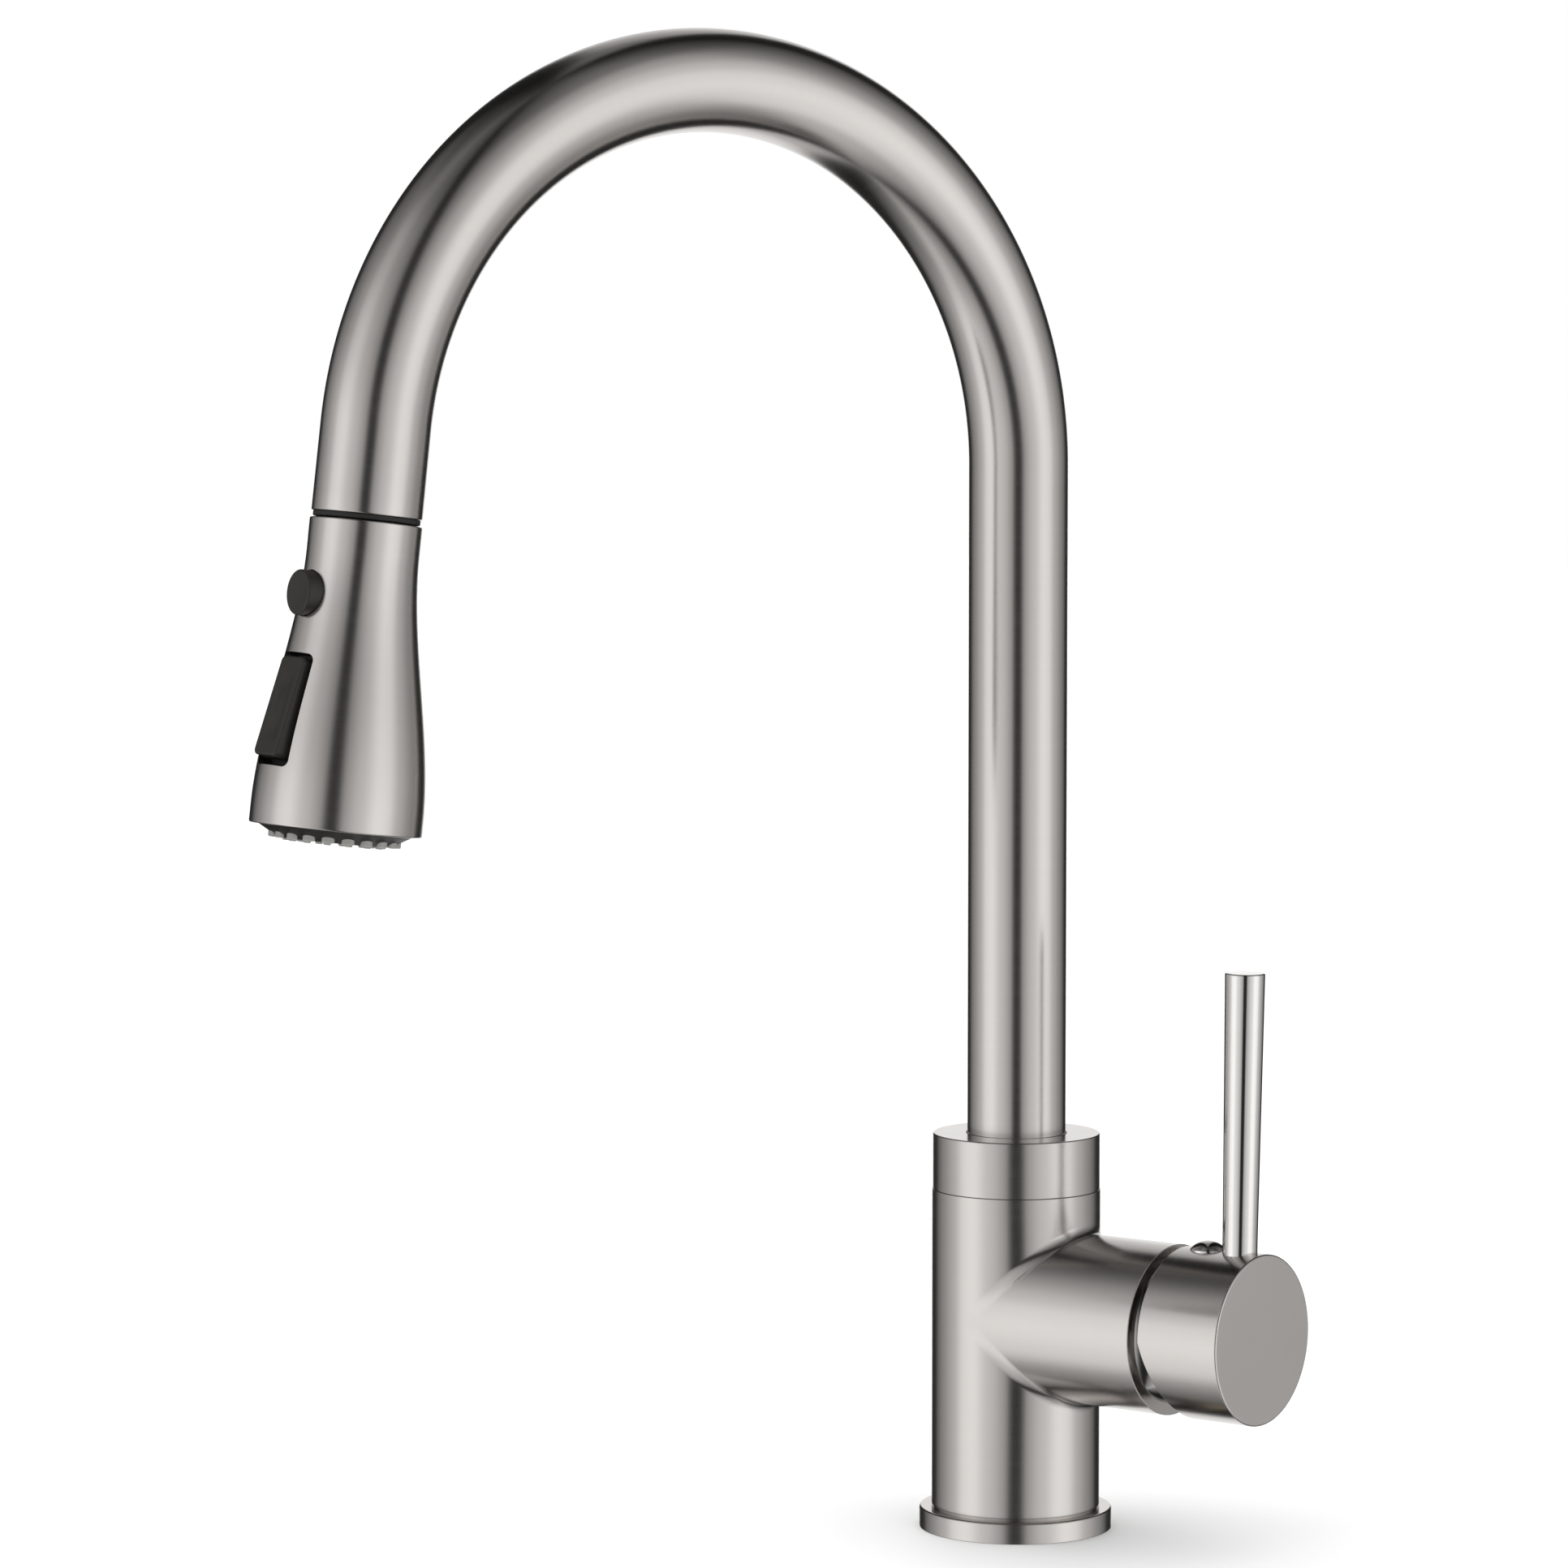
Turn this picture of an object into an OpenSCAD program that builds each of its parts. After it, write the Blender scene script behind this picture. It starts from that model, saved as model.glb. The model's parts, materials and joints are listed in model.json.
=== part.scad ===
// Single-hole pull-down kitchen faucet with a side lever, a swivelling gooseneck spout
// and a two-mode spray head. Deck surface at z = 0, column axis on Z, handle towards +X,
// sink towards -Y. Millimetres.

/* [Body] */
// Diameter of the column and of its side barrel
body_d = 48; // [46:0.5:54]
// Height of the joint between column and collar above the deck
body_top = 97.5; // [96:0.5:120]
// Height of the side barrel's axis above the deck
barrel_z = 62.3; // [61:0.1:66]
// Distance from the column's axis to the barrel's end face
barrel_len = 54.5; // [53:0.5:66]
// Height and depth of the shadow groove between flange and column
reveal = 0.6; // [0.4:0.1:1]
// Diameter of the base flange
flange_d = 55; // [54:0.5:66]
// Thickness of the base flange
flange_t = 6; // [4:0.5:8]
// Height of the collar that holds the spout down
collar_h = 16; // [12:0.5:20]

/* [Spout] */
// Outside diameter of the riser
riser_d = 28; // [26:0.5:29]
// Wall of the spout tube
tube_wall = 1.2; // [1:0.1:1.5]
// Height where the riser turns into the arch
arch_z = 303.4; // [240:0.1:370]
// Bend radius of the arch at the tube's centre line
arch_r = 105.5; // [80:0.5:140]
// Angle that the arch turns through
arch_angle = 173; // [150:1:178]
// Straight stretch after the arch
outlet_len = 23.5; // [22:0.5:40]
// How much wider the tube is at the spout's end than at the riser
outlet_flare = 1.2; // [0:0.1:3]
// How far the spout is turned from straight ahead, towards the far side of the handle
spout_turn = 18; // [-60:1:60]

/* [Spray head] */
// Length of the spray head's shell
head_len = 81; // [76:1:100]
// How much wider the top of the shell is than the spout's end
head_step = 0.4; // [0:0.1:2]
// Diameter of the shell's rim
head_rim_d = 45.5; // [43:0.5:54]
// Wall of the shell
shell_wall = 1.6; // [1.2:0.1:2]
// Diameter of the pause button
button_d = 12; // [10:0.5:14]
// Distance of the pause button from the top of the shell
button_s = 20.2; // [18:0.1:24]
// Travel of the pause button
button_travel = 2; // [1:0.5:2.5]
// Length of the mode rocker
rocker_len = 27; // [22:0.5:28]
// Width of the mode rocker
rocker_w = 11.5; // [9:0.5:12]
// Distance of the rocker's middle from the top of the shell
rocker_s = 50.5; // [48:0.5:54]
// How far the rocker tips to each side; it is shown with its lower end out
rocker_tip = 4; // [2:0.5:4]
// How far the nozzle plate stands out of the rim
nozzle_h = 3.2; // [2:0.1:5]

/* [Handle] */
// Length of the handle cap along the barrel's axis
cap_len = 26; // [24:0.5:34]
// Gap between the barrel's end and the cap
cap_gap = 3; // [2.5:0.1:4]
// Distance from the cap's front face to the lever's axis
lever_inset = 8; // [7:0.5:10]
// Length of the lever above the cap
lever_len = 78; // [60:1:110]
// Diameter of the lever at its foot
lever_foot_d = 9.8; // [8:0.1:11]
// Diameter of the lever at its tip
lever_tip_d = 11.2; // [8:0.1:13]
// Outward lean of the lever
lever_lean = 0.85; // [0:0.05:3]
// Diameter of the domed plug over the set screw
plug_d = 10; // [8:0.5:11]

/* [Cartridge] */
// Diameter of the ceramic cartridge
cartridge_d = 35; // [33:0.5:36]
// Width of the square stem
stem_w = 8; // [6:0.5:8]
// Largest lift of the lever, which the relief behind the cap allows
lift_max = 20; // [15:1:20]

/* [Mounting] */
// Outside diameter of the threaded shank
shank_d = 33; // [32:0.5:34]
// Length of the shank below the deck
shank_len = 58; // [55:1:80]
// Thickness of the deck that the nut clamps
deck_t = 30; // [10:1:34]
// Diameter of the spray hose
hose_d = 11; // [9:0.5:11.5]
// Tapping diameter of the three water ports
port_d = 7; // [6:0.1:7]

/* [Hidden] */
$fn = 96;

// Clearances
fit = 0.05;        // running fit on the radius
slip = 0.25;       // visible working gap on the radius
seat = 0.1;        // assembly clearance inside one body
edge = 0.5;        // small edge chamfer
eps = 0.01;
lap = 0.05;         // overlap of pieces that join

nickel = [0.66, 0.64, 0.61];
polished = [0.80, 0.79, 0.77];
brass = [0.78, 0.62, 0.36];
steel = [0.62, 0.63, 0.64];
black = [0.06, 0.06, 0.06];
rubber = [0.12, 0.12, 0.12];
acetal = [0.90, 0.89, 0.85];
ceramic = [0.93, 0.91, 0.86];
silicone = [0.66, 0.66, 0.64];

body_r = body_d / 2;
riser_r = riser_d / 2;
outlet_d = riser_d + outlet_flare;
head_top_d = outlet_d + head_step;
hose_r = hose_d / 2;
shank_r = shank_d / 2;
port_r = port_d / 2;

// Column, from the deck upwards
socket_depth = 10;                       // shank thread inside the body
socket_top = flange_t + socket_depth;
passage_r = hose_r + 0.7;                // way for the spray hose
shank_bore_r = shank_r - 2.1;
port_ring = shank_bore_r - port_r - 0.3; // circle that the water ports stand on
port_depth = 11;
spigot_r = body_r - 4;                   // collar thread inside the column
bush_r = riser_r + 3;
bush_h = 14;
ring_t = 1.8;                            // split ring
washer_t = 1;                            // nylon thrust washers
ring_z = body_top - 12.9;                // underside of the split ring
bush_top = ring_z - slip - washer_t;
bush_z = bush_top - bush_h;
spigot_h = body_top - ring_z - ring_t - slip - washer_t - fit;
nipple_top = body_top + 6;
nipple_bore_r = hose_r + 1.5;

// Valve chamber, from the barrel's end inwards
seat_x = barrel_len - 30.3;
cart_r = cartridge_d / 2;
chamber_r = cart_r + seat;
thread_r = cart_r + 1.5;
housing_front = barrel_len - 7.5;
pivot_x = barrel_len - 10.5;
inlet_y = port_ring * sin(45);
inlet_z = 2;
outlet_drop = 8;
way_r = 2.6;
disc_t = 4;
disc_face = seat_x + 2.8 + disc_t;       // plane where the two ceramic discs meet
carrier_t = 3;
rotor_back = disc_face + fit + disc_t + carrier_t + 0.8;
rotor_r = cart_r - 3.2;
neck_r = cart_r - 6;

// Handle
cap_r = body_r - 0.1;
cap_rear = barrel_len + cap_gap;
cap_front = cap_rear + cap_len;
relief_angle = lift_max - 3;             // the gap behind the cap allows the rest
dome_r = norm([cap_gap + 10.5, cap_r - 3.9]) - 1.1;
dome_wall = 1.2;
dome_hole_r = 16;
dome_foot_r = sqrt(dome_r * dome_r - pow(barrel_len - pivot_x, 2));
dome_end = pivot_x + sqrt(dome_r * dome_r - dome_hole_r * dome_hole_r);
boss_r = 7.5;
boss_x = dome_end + 0.6;
cavity_end = cap_rear + 11;
lever_x = cap_front - lever_inset;
plug_x = lever_x - lever_foot_d / 2 - plug_d / 2 - 0.3;
stem_end = cap_front - 5;
screw_r = 2.5;

// Spray head, along its own axis: w = 0 at the spout's end, w falls towards the nozzle
end_u = arch_r * (1 - cos(arch_angle)) + outlet_len * sin(arch_angle);
end_z = arch_z + arch_r * sin(arch_angle) + outlet_len * cos(arch_angle);
tilt = 180 - arch_angle;
gasket_t = 1.4;
head_w = -gasket_t - 0.3;
neck_h = 10.5;
dock_r = 9.3;
dock_bush_r = riser_r - tube_wall - seat;
dock_bush_wall = dock_bush_r - dock_r - slip;
ferrule_r = hose_r + 1.4;
ferrule_w = neck_h + head_w + 0.4;
ferrule_len = 12;
tail_r = 5.4;
tail_w = -12;
core_len = head_len - 8;
rocker_w0 = head_w - rocker_s;
rocker_t = 4.6;
rocker_lift = 1;
slot_margin = 1.6;
button_w = head_w - button_s;
button_lift = 3;
plate_r = head_rim_d / 2 - shell_wall - 0.4;
plate_face_r = plate_r - 5.8;
nub_count = 20;
nub_ring = plate_r - 4.2;
aerator_r = plate_face_r - 7.95;
seal_r = plate_r - 3.2;                  // outer radius of the seal behind the plate
seal_w = 2.2;

function smooth(t) = let (c = min(max(t, 0), 1)) c * c * (3 - 2 * c);
// Outer radius of the shell at a distance s from its top: a smooth flare between two ends
function head_r(s) = head_top_d / 2
    + (head_rim_d - head_top_d) / 2 * smooth((s - 8) / (head_len - 12));
rocker_slope = atan((head_r(rocker_s + rocker_len / 2) - head_r(rocker_s - rocker_len / 2))
    / rocker_len);
rocker_x = (head_r(rocker_s + rocker_len / 2) + head_r(rocker_s - rocker_len / 2)) / 2
    + rocker_lift;
rocker_pivot = 8;                        // depth of the pin below the rocker's face
pocket_depth = rocker_t + 1.6;
button_floor = 8.5;
button_back = button_floor + 1 + button_travel;
spring_r = 3.6;
wire_r = 0.35;
spool_r = 4.9;
button_x = head_r(button_s) + button_lift;

// ---- shared shapes ----

// Ring with a rectangular section
module ring(r_out, r_in, h) {
    difference() {
        cylinder(r = r_out, h = h);
        translate([0, 0, -1]) cylinder(r = r_in, h = h + 2);
    }
}

// Solid disc with a small chamfer on its upper edge
module disc_top(r, h, c = edge) {
    rotate_extrude() polygon([[0, 0], [r, 0], [r, h - c], [r - c, h], [0, h]]);
}

// Places children on the barrel's axis, with their z axis along it
module on_barrel(x = 0) {
    translate([x, 0, barrel_z]) rotate([0, 90, 0]) children();
}

// Places children in the spout's plane, x towards the outlet
module in_spout() {
    rotate([0, 0, -90 - spout_turn]) children();
}

// Places children at the spout's end, z back up its axis and x away from the riser
module at_outlet() {
    in_spout() translate([end_u, 0, end_z]) rotate([0, -tilt, 0]) children();
}

// Places children on the head's outward side at a distance w, their z axis outwards
module on_head_side(w) {
    translate([0, 0, w]) rotate([0, 90, 0]) children();
}

// A round bar of radius r that follows the riser from z0, the arch and the outlet.
// The straight ends reach a hair into the arch, which is a hair thinner, so all three join.
module along_spout(r, z0, r_end, out_len) {
    translate([0, 0, z0]) cylinder(r = r, h = arch_z - z0 + lap);
    translate([arch_r, 0, arch_z]) rotate([90, 0, 0]) rotate([0, 0, 180 - arch_angle])
        rotate_extrude(angle = arch_angle) translate([arch_r, 0]) circle(r = r - lap);
    translate([arch_r * (1 - cos(arch_angle)), 0, arch_z + arch_r * sin(arch_angle)])
        rotate([0, 180 - tilt, 0]) translate([0, 0, -lap])
            cylinder(r1 = r, r2 = r_end, h = out_len + lap);
}

// Upright block with rounded corners, length along z, width along y, thickness along x
module soft_block(len, w, t, r) {
    rotate([0, 90, 0]) linear_extrude(height = t)
        hull() for (i = [-1, 1], j = [-1, 1])
            translate([i * (len / 2 - r), j * (w / 2 - r)]) circle(r = r);
}

// ---- base ----

module base_flange() {
    color(nickel) difference() {
        disc_top(flange_d / 2, flange_t, 0.6);
        translate([0, 0, -1]) cylinder(r = shank_r + seat, h = flange_t + 2);
        translate([0, 0, -1]) cylinder(r = shank_r + 5, h = 2.2);
    }
}

module base_gasket() {
    color(rubber) ring(shank_r + 5 - seat, shank_r + seat, 1.2 - fit);
}

// Outer form of the casting: column and barrel of one diameter
module body_form() {
    union() {
        translate([0, 0, flange_t]) cylinder(r = body_r - reveal, h = 1);
        translate([0, 0, flange_t + reveal]) cylinder(r = body_r, h = body_top - flange_t - reveal);
        on_barrel() cylinder(r = body_r, h = barrel_len);
    }
}

// The three water ports: hot, mixed and cold, with the drillings up to the valve seat
module body_ways() {
    for (side = [-1, 0, 1]) {
        a = side * 45;
        x = port_ring * cos(a);
        y = port_ring * sin(a);
        top = barrel_z + (side == 0 ? -outlet_drop : inlet_z);
        translate([x, y, socket_top - 1]) cylinder(r = port_r, h = port_depth + 1);
        translate([x, y, socket_top]) cylinder(r = way_r, h = top - socket_top);
        translate([x, y, top]) rotate([0, 90, 0]) cylinder(r = way_r, h = seat_x - x + 1);
    }
}

module body() {
    color(nickel) difference() {
        body_form();
        translate([0, 0, flange_t - 1]) cylinder(r = shank_r + seat, h = socket_depth + 1);
        cylinder(r = passage_r, h = body_top);
        // Cored space behind the water ways, open to the hose passage
        translate([0, 0, socket_top + 6]) intersection() {
            cylinder(r = body_r - 3.6, h = bush_z - socket_top - 12);
            translate([-body_r, -body_r, -1]) cube([body_r, body_d, body_top]);
        }
        translate([0, 0, bush_z]) cylinder(r = bush_r + seat, h = body_top);
        translate([0, 0, body_top - spigot_h]) cylinder(r = spigot_r + seat, h = spigot_h + 1);
        on_barrel(seat_x) cylinder(r = chamber_r, h = barrel_len);
        on_barrel(housing_front - 1.5) cylinder(r = thread_r + seat, h = barrel_len);
        body_ways();
    }
}

module retaining_collar() {
    color(nickel) difference() {
        union() {
            translate([0, 0, body_top]) disc_top(body_r - 0.2, collar_h, 0.4);
            translate([0, 0, body_top - spigot_h]) cylinder(r = spigot_r, h = spigot_h + 1);
        }
        translate([0, 0, body_top - spigot_h - 1])
            cylinder(r = riser_r + slip, h = collar_h + spigot_h + 2);
    }
}

module swivel_bush() {
    color(acetal) translate([0, 0, bush_z]) ring(bush_r, riser_r + fit, bush_h);
}

module thrust_washers() {
    color(acetal) {
        translate([0, 0, bush_top + fit]) ring(bush_r, riser_r + fit, washer_t - fit);
        translate([0, 0, ring_z + ring_t + slip]) ring(bush_r, riser_r + slip, washer_t);
    }
}

module threaded_shank() {
    color(steel) translate([0, 0, -shank_len])
        ring(shank_r, shank_bore_r, shank_len + socket_top - seat);
}

module rubber_washer() {
    color(rubber) translate([0, 0, -deck_t - 3]) ring(shank_r + 9, shank_r + seat, 3);
}

module clamp_washer() {
    color(steel) translate([0, 0, -deck_t - 5]) ring(shank_r + 9, shank_r + seat, 2);
}

module mounting_nut() {
    nut_r = shank_r + 8.5;
    color(brass) translate([0, 0, -deck_t - 17]) difference() {
        union() {
            cylinder(r = nut_r - 2, h = 8, $fn = 6);
            translate([0, 0, 6]) cylinder(r = nut_r, h = 4);
        }
        translate([0, 0, -1]) cylinder(r = shank_r + seat, h = 14);
        for (a = [0, 180]) rotate([0, 0, a]) translate([shank_r + 5, 0, -1])
            cylinder(r = screw_r + seat, h = 14);
    }
}

// Two tightening screws that run through the nut and press on the clamp washer
module nut_screws() {
    color(steel) for (a = [0, 180]) rotate([0, 0, a])
        translate([shank_r + 5, 0, -deck_t - 5]) {
            translate([0, 0, -16]) cylinder(r = screw_r, h = 16 - fit);
            translate([0, 0, -19]) cylinder(r = screw_r + 1.5, h = 3);
        }
}

// Brass end of the hose that the supply side is coupled to
module hose_connector() {
    color(brass) translate([0, 0, -shank_len - 20]) {
        difference() {
            cylinder(r = hose_r + 1, h = 18);
            translate([0, 0, -1]) cylinder(r = 3, h = 20);
        }
    }
}

// ---- cartridge ----

// Places children on each of the valve seat's three openings
module on_seat_ports() {
    for (side = [-1, 0, 1])
        translate([0, side * inlet_y, barrel_z + (side == 0 ? -outlet_drop : inlet_z)])
            rotate([0, 90, 0]) children();
}

module cartridge_housing() {
    color(acetal) difference() {
        on_barrel(seat_x + 0.2) cylinder(r = cart_r, h = housing_front - seat_x - 0.2);
        on_barrel(seat_x + 2.8) cylinder(r = rotor_r + fit, h = pivot_x - seat_x - 2.8);
        on_barrel(pivot_x - 1) cylinder(r = neck_r + fit, h = 10);
        translate([seat_x - 1, 0, 0]) on_seat_ports() cylinder(r = way_r + 1, h = 5);
    }
}

module cartridge_seals() {
    color(rubber) translate([seat_x + 0.2, 0, 0]) on_seat_ports()
        ring(way_r + 1 - fit, way_r - 0.4, 2.5);
}

module fixed_disc() {
    color(ceramic) difference() {
        on_barrel(disc_face - disc_t + fit) cylinder(r = rotor_r - fit, h = disc_t - fit);
        translate([disc_face - disc_t - 1, 0, 0]) on_seat_ports()
            cylinder(r = way_r - 0.6, h = disc_t + 2);
    }
}

module cartridge_nut() {
    color(brass) difference() {
        on_barrel(housing_front + fit) cylinder(r = thread_r, h = 5.5);
        on_barrel(housing_front - 1) cylinder(r = (neck_r + 0.5) / cos(30), h = 8, $fn = 6);
    }
}

// Domed trim ring around the stem, a zone of a sphere centred on the stem's pivot
module dome_cover() {
    color(polished) on_barrel() {
        difference() {
            intersection() {
                translate([0, 0, pivot_x]) sphere(r = dome_r);
                translate([0, 0, barrel_len]) cylinder(r = dome_r, h = dome_end - barrel_len);
            }
            translate([0, 0, pivot_x]) sphere(r = dome_r - dome_wall);
            translate([0, 0, barrel_len - 2]) cylinder(r = dome_hole_r, h = dome_r);
        }
        translate([0, 0, barrel_len - 1.2]) ring(thread_r, thread_r - 1.6, 2.2);
        translate([0, 0, barrel_len]) ring(dome_foot_r - 0.8, thread_r - 1.6, 1);
    }
}

module cartridge_rotor() {
    color(acetal) difference() {
        union() {
            on_barrel(rotor_back) cylinder(r = rotor_r, h = pivot_x - 1 - fit - rotor_back);
            on_barrel(rotor_back) cylinder(r = neck_r, h = housing_front + 1.5 - rotor_back);
        }
        // Slot that lets the stem rock about its pin
        translate([rotor_back - 1, -stem_w / 2 - fit, barrel_z - stem_w / 2 - 4.2])
            cube([housing_front + 4 - rotor_back, stem_w + 2 * fit, stem_w + 8.4]);
        translate([pivot_x, neck_r + 1, barrel_z]) rotate([90, 0, 0])
            cylinder(r = 1.6, h = 2 * neck_r + 2);
    }
}

module stem_pin() {
    color(steel) translate([pivot_x, neck_r - 0.3, barrel_z]) rotate([90, 0, 0])
        cylinder(r = 1.55, h = 2 * neck_r - 0.6);
}

module moving_disc() {
    color(ceramic) on_barrel(disc_face + fit) difference() {
        cylinder(r = rotor_r - 3.2, h = disc_t - fit);
        translate([0, 0, -1]) cylinder(r = 6, h = 3);
    }
}

module disc_carrier() {
    color(acetal) on_barrel(disc_face + fit + disc_t) difference() {
        cylinder(r = rotor_r - 3.2, h = carrier_t);
        translate([-2.2, -2.2, 0.6]) cube([4.4, 4.4, carrier_t]);
    }
}

module cartridge_stem() {
    color(steel) difference() {
        union() {
            translate([pivot_x - 3, -stem_w / 2, barrel_z - stem_w / 2])
                cube([stem_end - pivot_x + 3, stem_w, stem_w]);
            on_barrel(disc_face + disc_t + 1.6) cylinder(r = 1.8, h = pivot_x - disc_face - 6);
        }
        translate([pivot_x, stem_w, barrel_z]) rotate([90, 0, 0])
            cylinder(r = 1.6, h = 2 * stem_w);
    }
}

// ---- handle ----

module handle_cap() {
    color(nickel) difference() {
        on_barrel(cap_rear) disc_top(cap_r, cap_len, 0.4);
        // Hollow around the dome, leaving a boss for the stem
        difference() {
            on_barrel(cap_rear - 1) cylinder(r = cap_r - 3.9, h = cavity_end - cap_rear + 1);
            on_barrel(boss_x) cylinder(r = boss_r, h = cap_len);
        }
        // Oblique relief below the axis, so that the cap can tilt
        translate([cap_rear, -body_d, barrel_z]) rotate([0, -relief_angle, 0])
            translate([-body_d, 0, -body_d]) cube([body_d, 2 * body_d, body_d]);
        translate([cap_rear - 5, -stem_w / 2 - fit, barrel_z - stem_w / 2 - fit])
            cube([stem_end - cap_rear + 5.2, stem_w + 2 * fit, stem_w + 2 * fit]);
        translate([plug_x, 0, barrel_z]) cylinder(r = screw_r + fit, h = body_d);
        translate([lever_x, 0, barrel_z + cap_r - 12]) cylinder(r = 3 + fit, h = 20);
    }
}

module lever() {
    color(polished) translate([lever_x, 0, barrel_z + cap_r]) {
        difference() {
            rotate([0, lever_lean, 0]) translate([0, 0, -2]) {
                cylinder(d1 = lever_foot_d, d2 = lever_tip_d, h = lever_len + 1.5);
                translate([0, 0, lever_len + 1.5])
                    cylinder(d1 = lever_tip_d, d2 = lever_tip_d - 1, h = 0.5);
            }
            translate([-20, 0, -cap_r]) rotate([0, 90, 0]) cylinder(r = cap_r + 0.02, h = 40);
        }
        translate([0, 0, -11]) cylinder(r = 3, h = 13);
    }
}

module set_screw() {
    color(steel) translate([plug_x, 0, barrel_z + stem_w / 2 + fit]) difference() {
        cylinder(r = screw_r, h = 7);
        translate([0, 0, 4]) cylinder(r = 1.4, h = 5, $fn = 6);
    }
}

// Domed chrome plug over the set screw
module indicator_plug() {
    dome_rise = 2.4;
    ball_r = (plug_d * plug_d / 4 + dome_rise * dome_rise) / (2 * dome_rise);
    color(polished) translate([plug_x, 0, barrel_z + cap_r]) {
        difference() {
            union() {
                intersection() {
                    translate([0, 0, dome_rise - ball_r]) sphere(r = ball_r);
                    cylinder(r = plug_d, h = 5);
                }
                translate([0, 0, -1.5]) cylinder(d = plug_d - eps, h = 1.5 + eps);
            }
            translate([-20, 0, -cap_r]) rotate([0, 90, 0]) cylinder(r = cap_r + 0.02, h = 40);
        }
        translate([0, 0, -6]) cylinder(r = screw_r, h = 7);
    }
}

// ---- spout ----

module spout_tube() {
    color(nickel) in_spout() difference() {
        along_spout(riser_r, body_top - 4, outlet_d / 2, outlet_len);
        along_spout(riser_r - tube_wall, body_top - 5, riser_r - tube_wall, outlet_len + 1);
    }
}

// Brazed end of the riser, with a groove for the split ring and two for the O-rings
module swivel_nipple() {
    color(brass) difference() {
        union() {
            translate([0, 0, bush_z + fit]) cylinder(r = riser_r, h = body_top - 4 - bush_z - fit);
            cylinder(r = riser_r - tube_wall - fit, h = nipple_top);
        }
        translate([0, 0, -1]) cylinder(r = riser_r + 1, h = bush_z + 1 + fit);
        cylinder(r = nipple_bore_r, h = nipple_top + 1);
        translate([0, 0, ring_z - fit]) ring(riser_r + 1, riser_r - 1.6, ring_t + 2 * fit);
        for (i = [0, 1]) translate([0, 0, bush_z + 3 + i * 5])
            ring(riser_r + 1, riser_r - 1.9, 2);
    }
}

module swivel_o_rings() {
    color(rubber) for (i = [0, 1]) translate([0, 0, bush_z + 4 + i * 5])
        rotate_extrude() translate([riser_r - 0.95, 0]) circle(r = 0.93);
}

module split_ring() {
    color(steel) translate([0, 0, ring_z]) difference() {
        ring(riser_r + 2.6, riser_r - 1.5, ring_t);
        translate([0, -2, -1]) cube([riser_d, 4, ring_t + 2]);
    }
}

// Bush that guides the hose and takes the neck of the head
module dock_bush() {
    color(black) at_outlet() translate([0, 0, fit]) difference() {
        cylinder(r = dock_bush_r, h = 15);
        translate([0, 0, -1]) cylinder(r = dock_r + slip, h = 17);
        translate([0, 0, -eps])
            cylinder(r1 = dock_bush_r - 0.7 * dock_bush_wall, r2 = dock_r + slip, h = 1.5);
    }
}

module dock_gasket() {
    color(black) at_outlet() translate([0, 0, -gasket_t])
        ring(outlet_d / 2 - 0.5, dock_bush_r - 0.64 * dock_bush_wall, gasket_t);
}

// Spray hose from its lower connector, up the riser and round to the ferrule
module spray_hose() {
    hose_low = -shank_len - 2;
    color(rubber) in_spout() difference() {
        along_spout(hose_r, hose_low, hose_r, outlet_len - ferrule_w - ferrule_len - fit);
        along_spout(hose_r - 2, hose_low - 1, hose_r - 2,
            outlet_len - ferrule_w - ferrule_len + 1);
    }
}

// ---- hose end ----

module hose_ferrule() {
    color(steel) at_outlet() translate([0, 0, ferrule_w]) {
        difference() {
            cylinder(r = ferrule_r, h = ferrule_len);
            translate([0, 0, -1]) cylinder(r = hose_r - 2, h = ferrule_len + 2);
            for (i = [0 : 2]) translate([0, 0, 5 + i * 3.5]) ring(ferrule_r + 1, ferrule_r - 0.4, 1);
        }
    }
}

// Turned tail that the head turns on
module swivel_tail() {
    color(brass) at_outlet() difference() {
        union() {
            translate([0, 0, tail_w]) cylinder(r = tail_r, h = ferrule_w - tail_w);
            translate([0, 0, tail_w]) cylinder(r = tail_r + 1.4, h = 2);
        }
        translate([0, 0, tail_w - 1]) cylinder(r = hose_r - 2.2, h = ferrule_w - tail_w + 2);
        translate([0, 0, -6]) ring(tail_r + 1, tail_r - 1.5, 2);
    }
}

module tail_seal() {
    color(rubber) at_outlet() translate([0, 0, -5])
        rotate_extrude() translate([tail_r - 0.72, 0]) circle(r = 0.72);
}

// ---- spray head ----

// Solid of revolution that follows the shell's flare, set in by a wall
module head_solid(inset, s0, s1) {
    steps = 26;
    s_at = function(i) s0 + (s1 - s0) * i / steps;
    rotate_extrude() polygon(concat(
        [[0, head_w - s0]],
        [for (i = [0 : steps]) [head_r(s_at(i)) - inset, head_w - s_at(i)]],
        [[0, head_w - s1]]));
}

module rocker_place() {
    translate([rocker_x, 0, rocker_w0]) rotate([0, -rocker_slope, 0]) children();
}

module head_shell() {
    color(nickel) at_outlet() difference() {
        head_solid(0, 0, head_len);
        head_solid(shell_wall, shell_wall, head_len + 1);
        translate([0, 0, head_w - 5]) cylinder(r = dock_r + fit, h = 10);
        difference() {
            translate([0, 0, head_w - edge]) cylinder(r = head_top_d, h = 2);
            translate([0, 0, head_w - edge]) cylinder(d1 = head_top_d, d2 = head_top_d - 1, h = edge);
        }
        on_head_side(button_w) cylinder(r = button_d / 2 + slip, h = head_rim_d);
        rocker_place() translate([-8, 0, 0])
            soft_block(rocker_len + 2 * slot_margin, rocker_w + 2.4 * slot_margin, 16, 2);
    }
}

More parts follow.
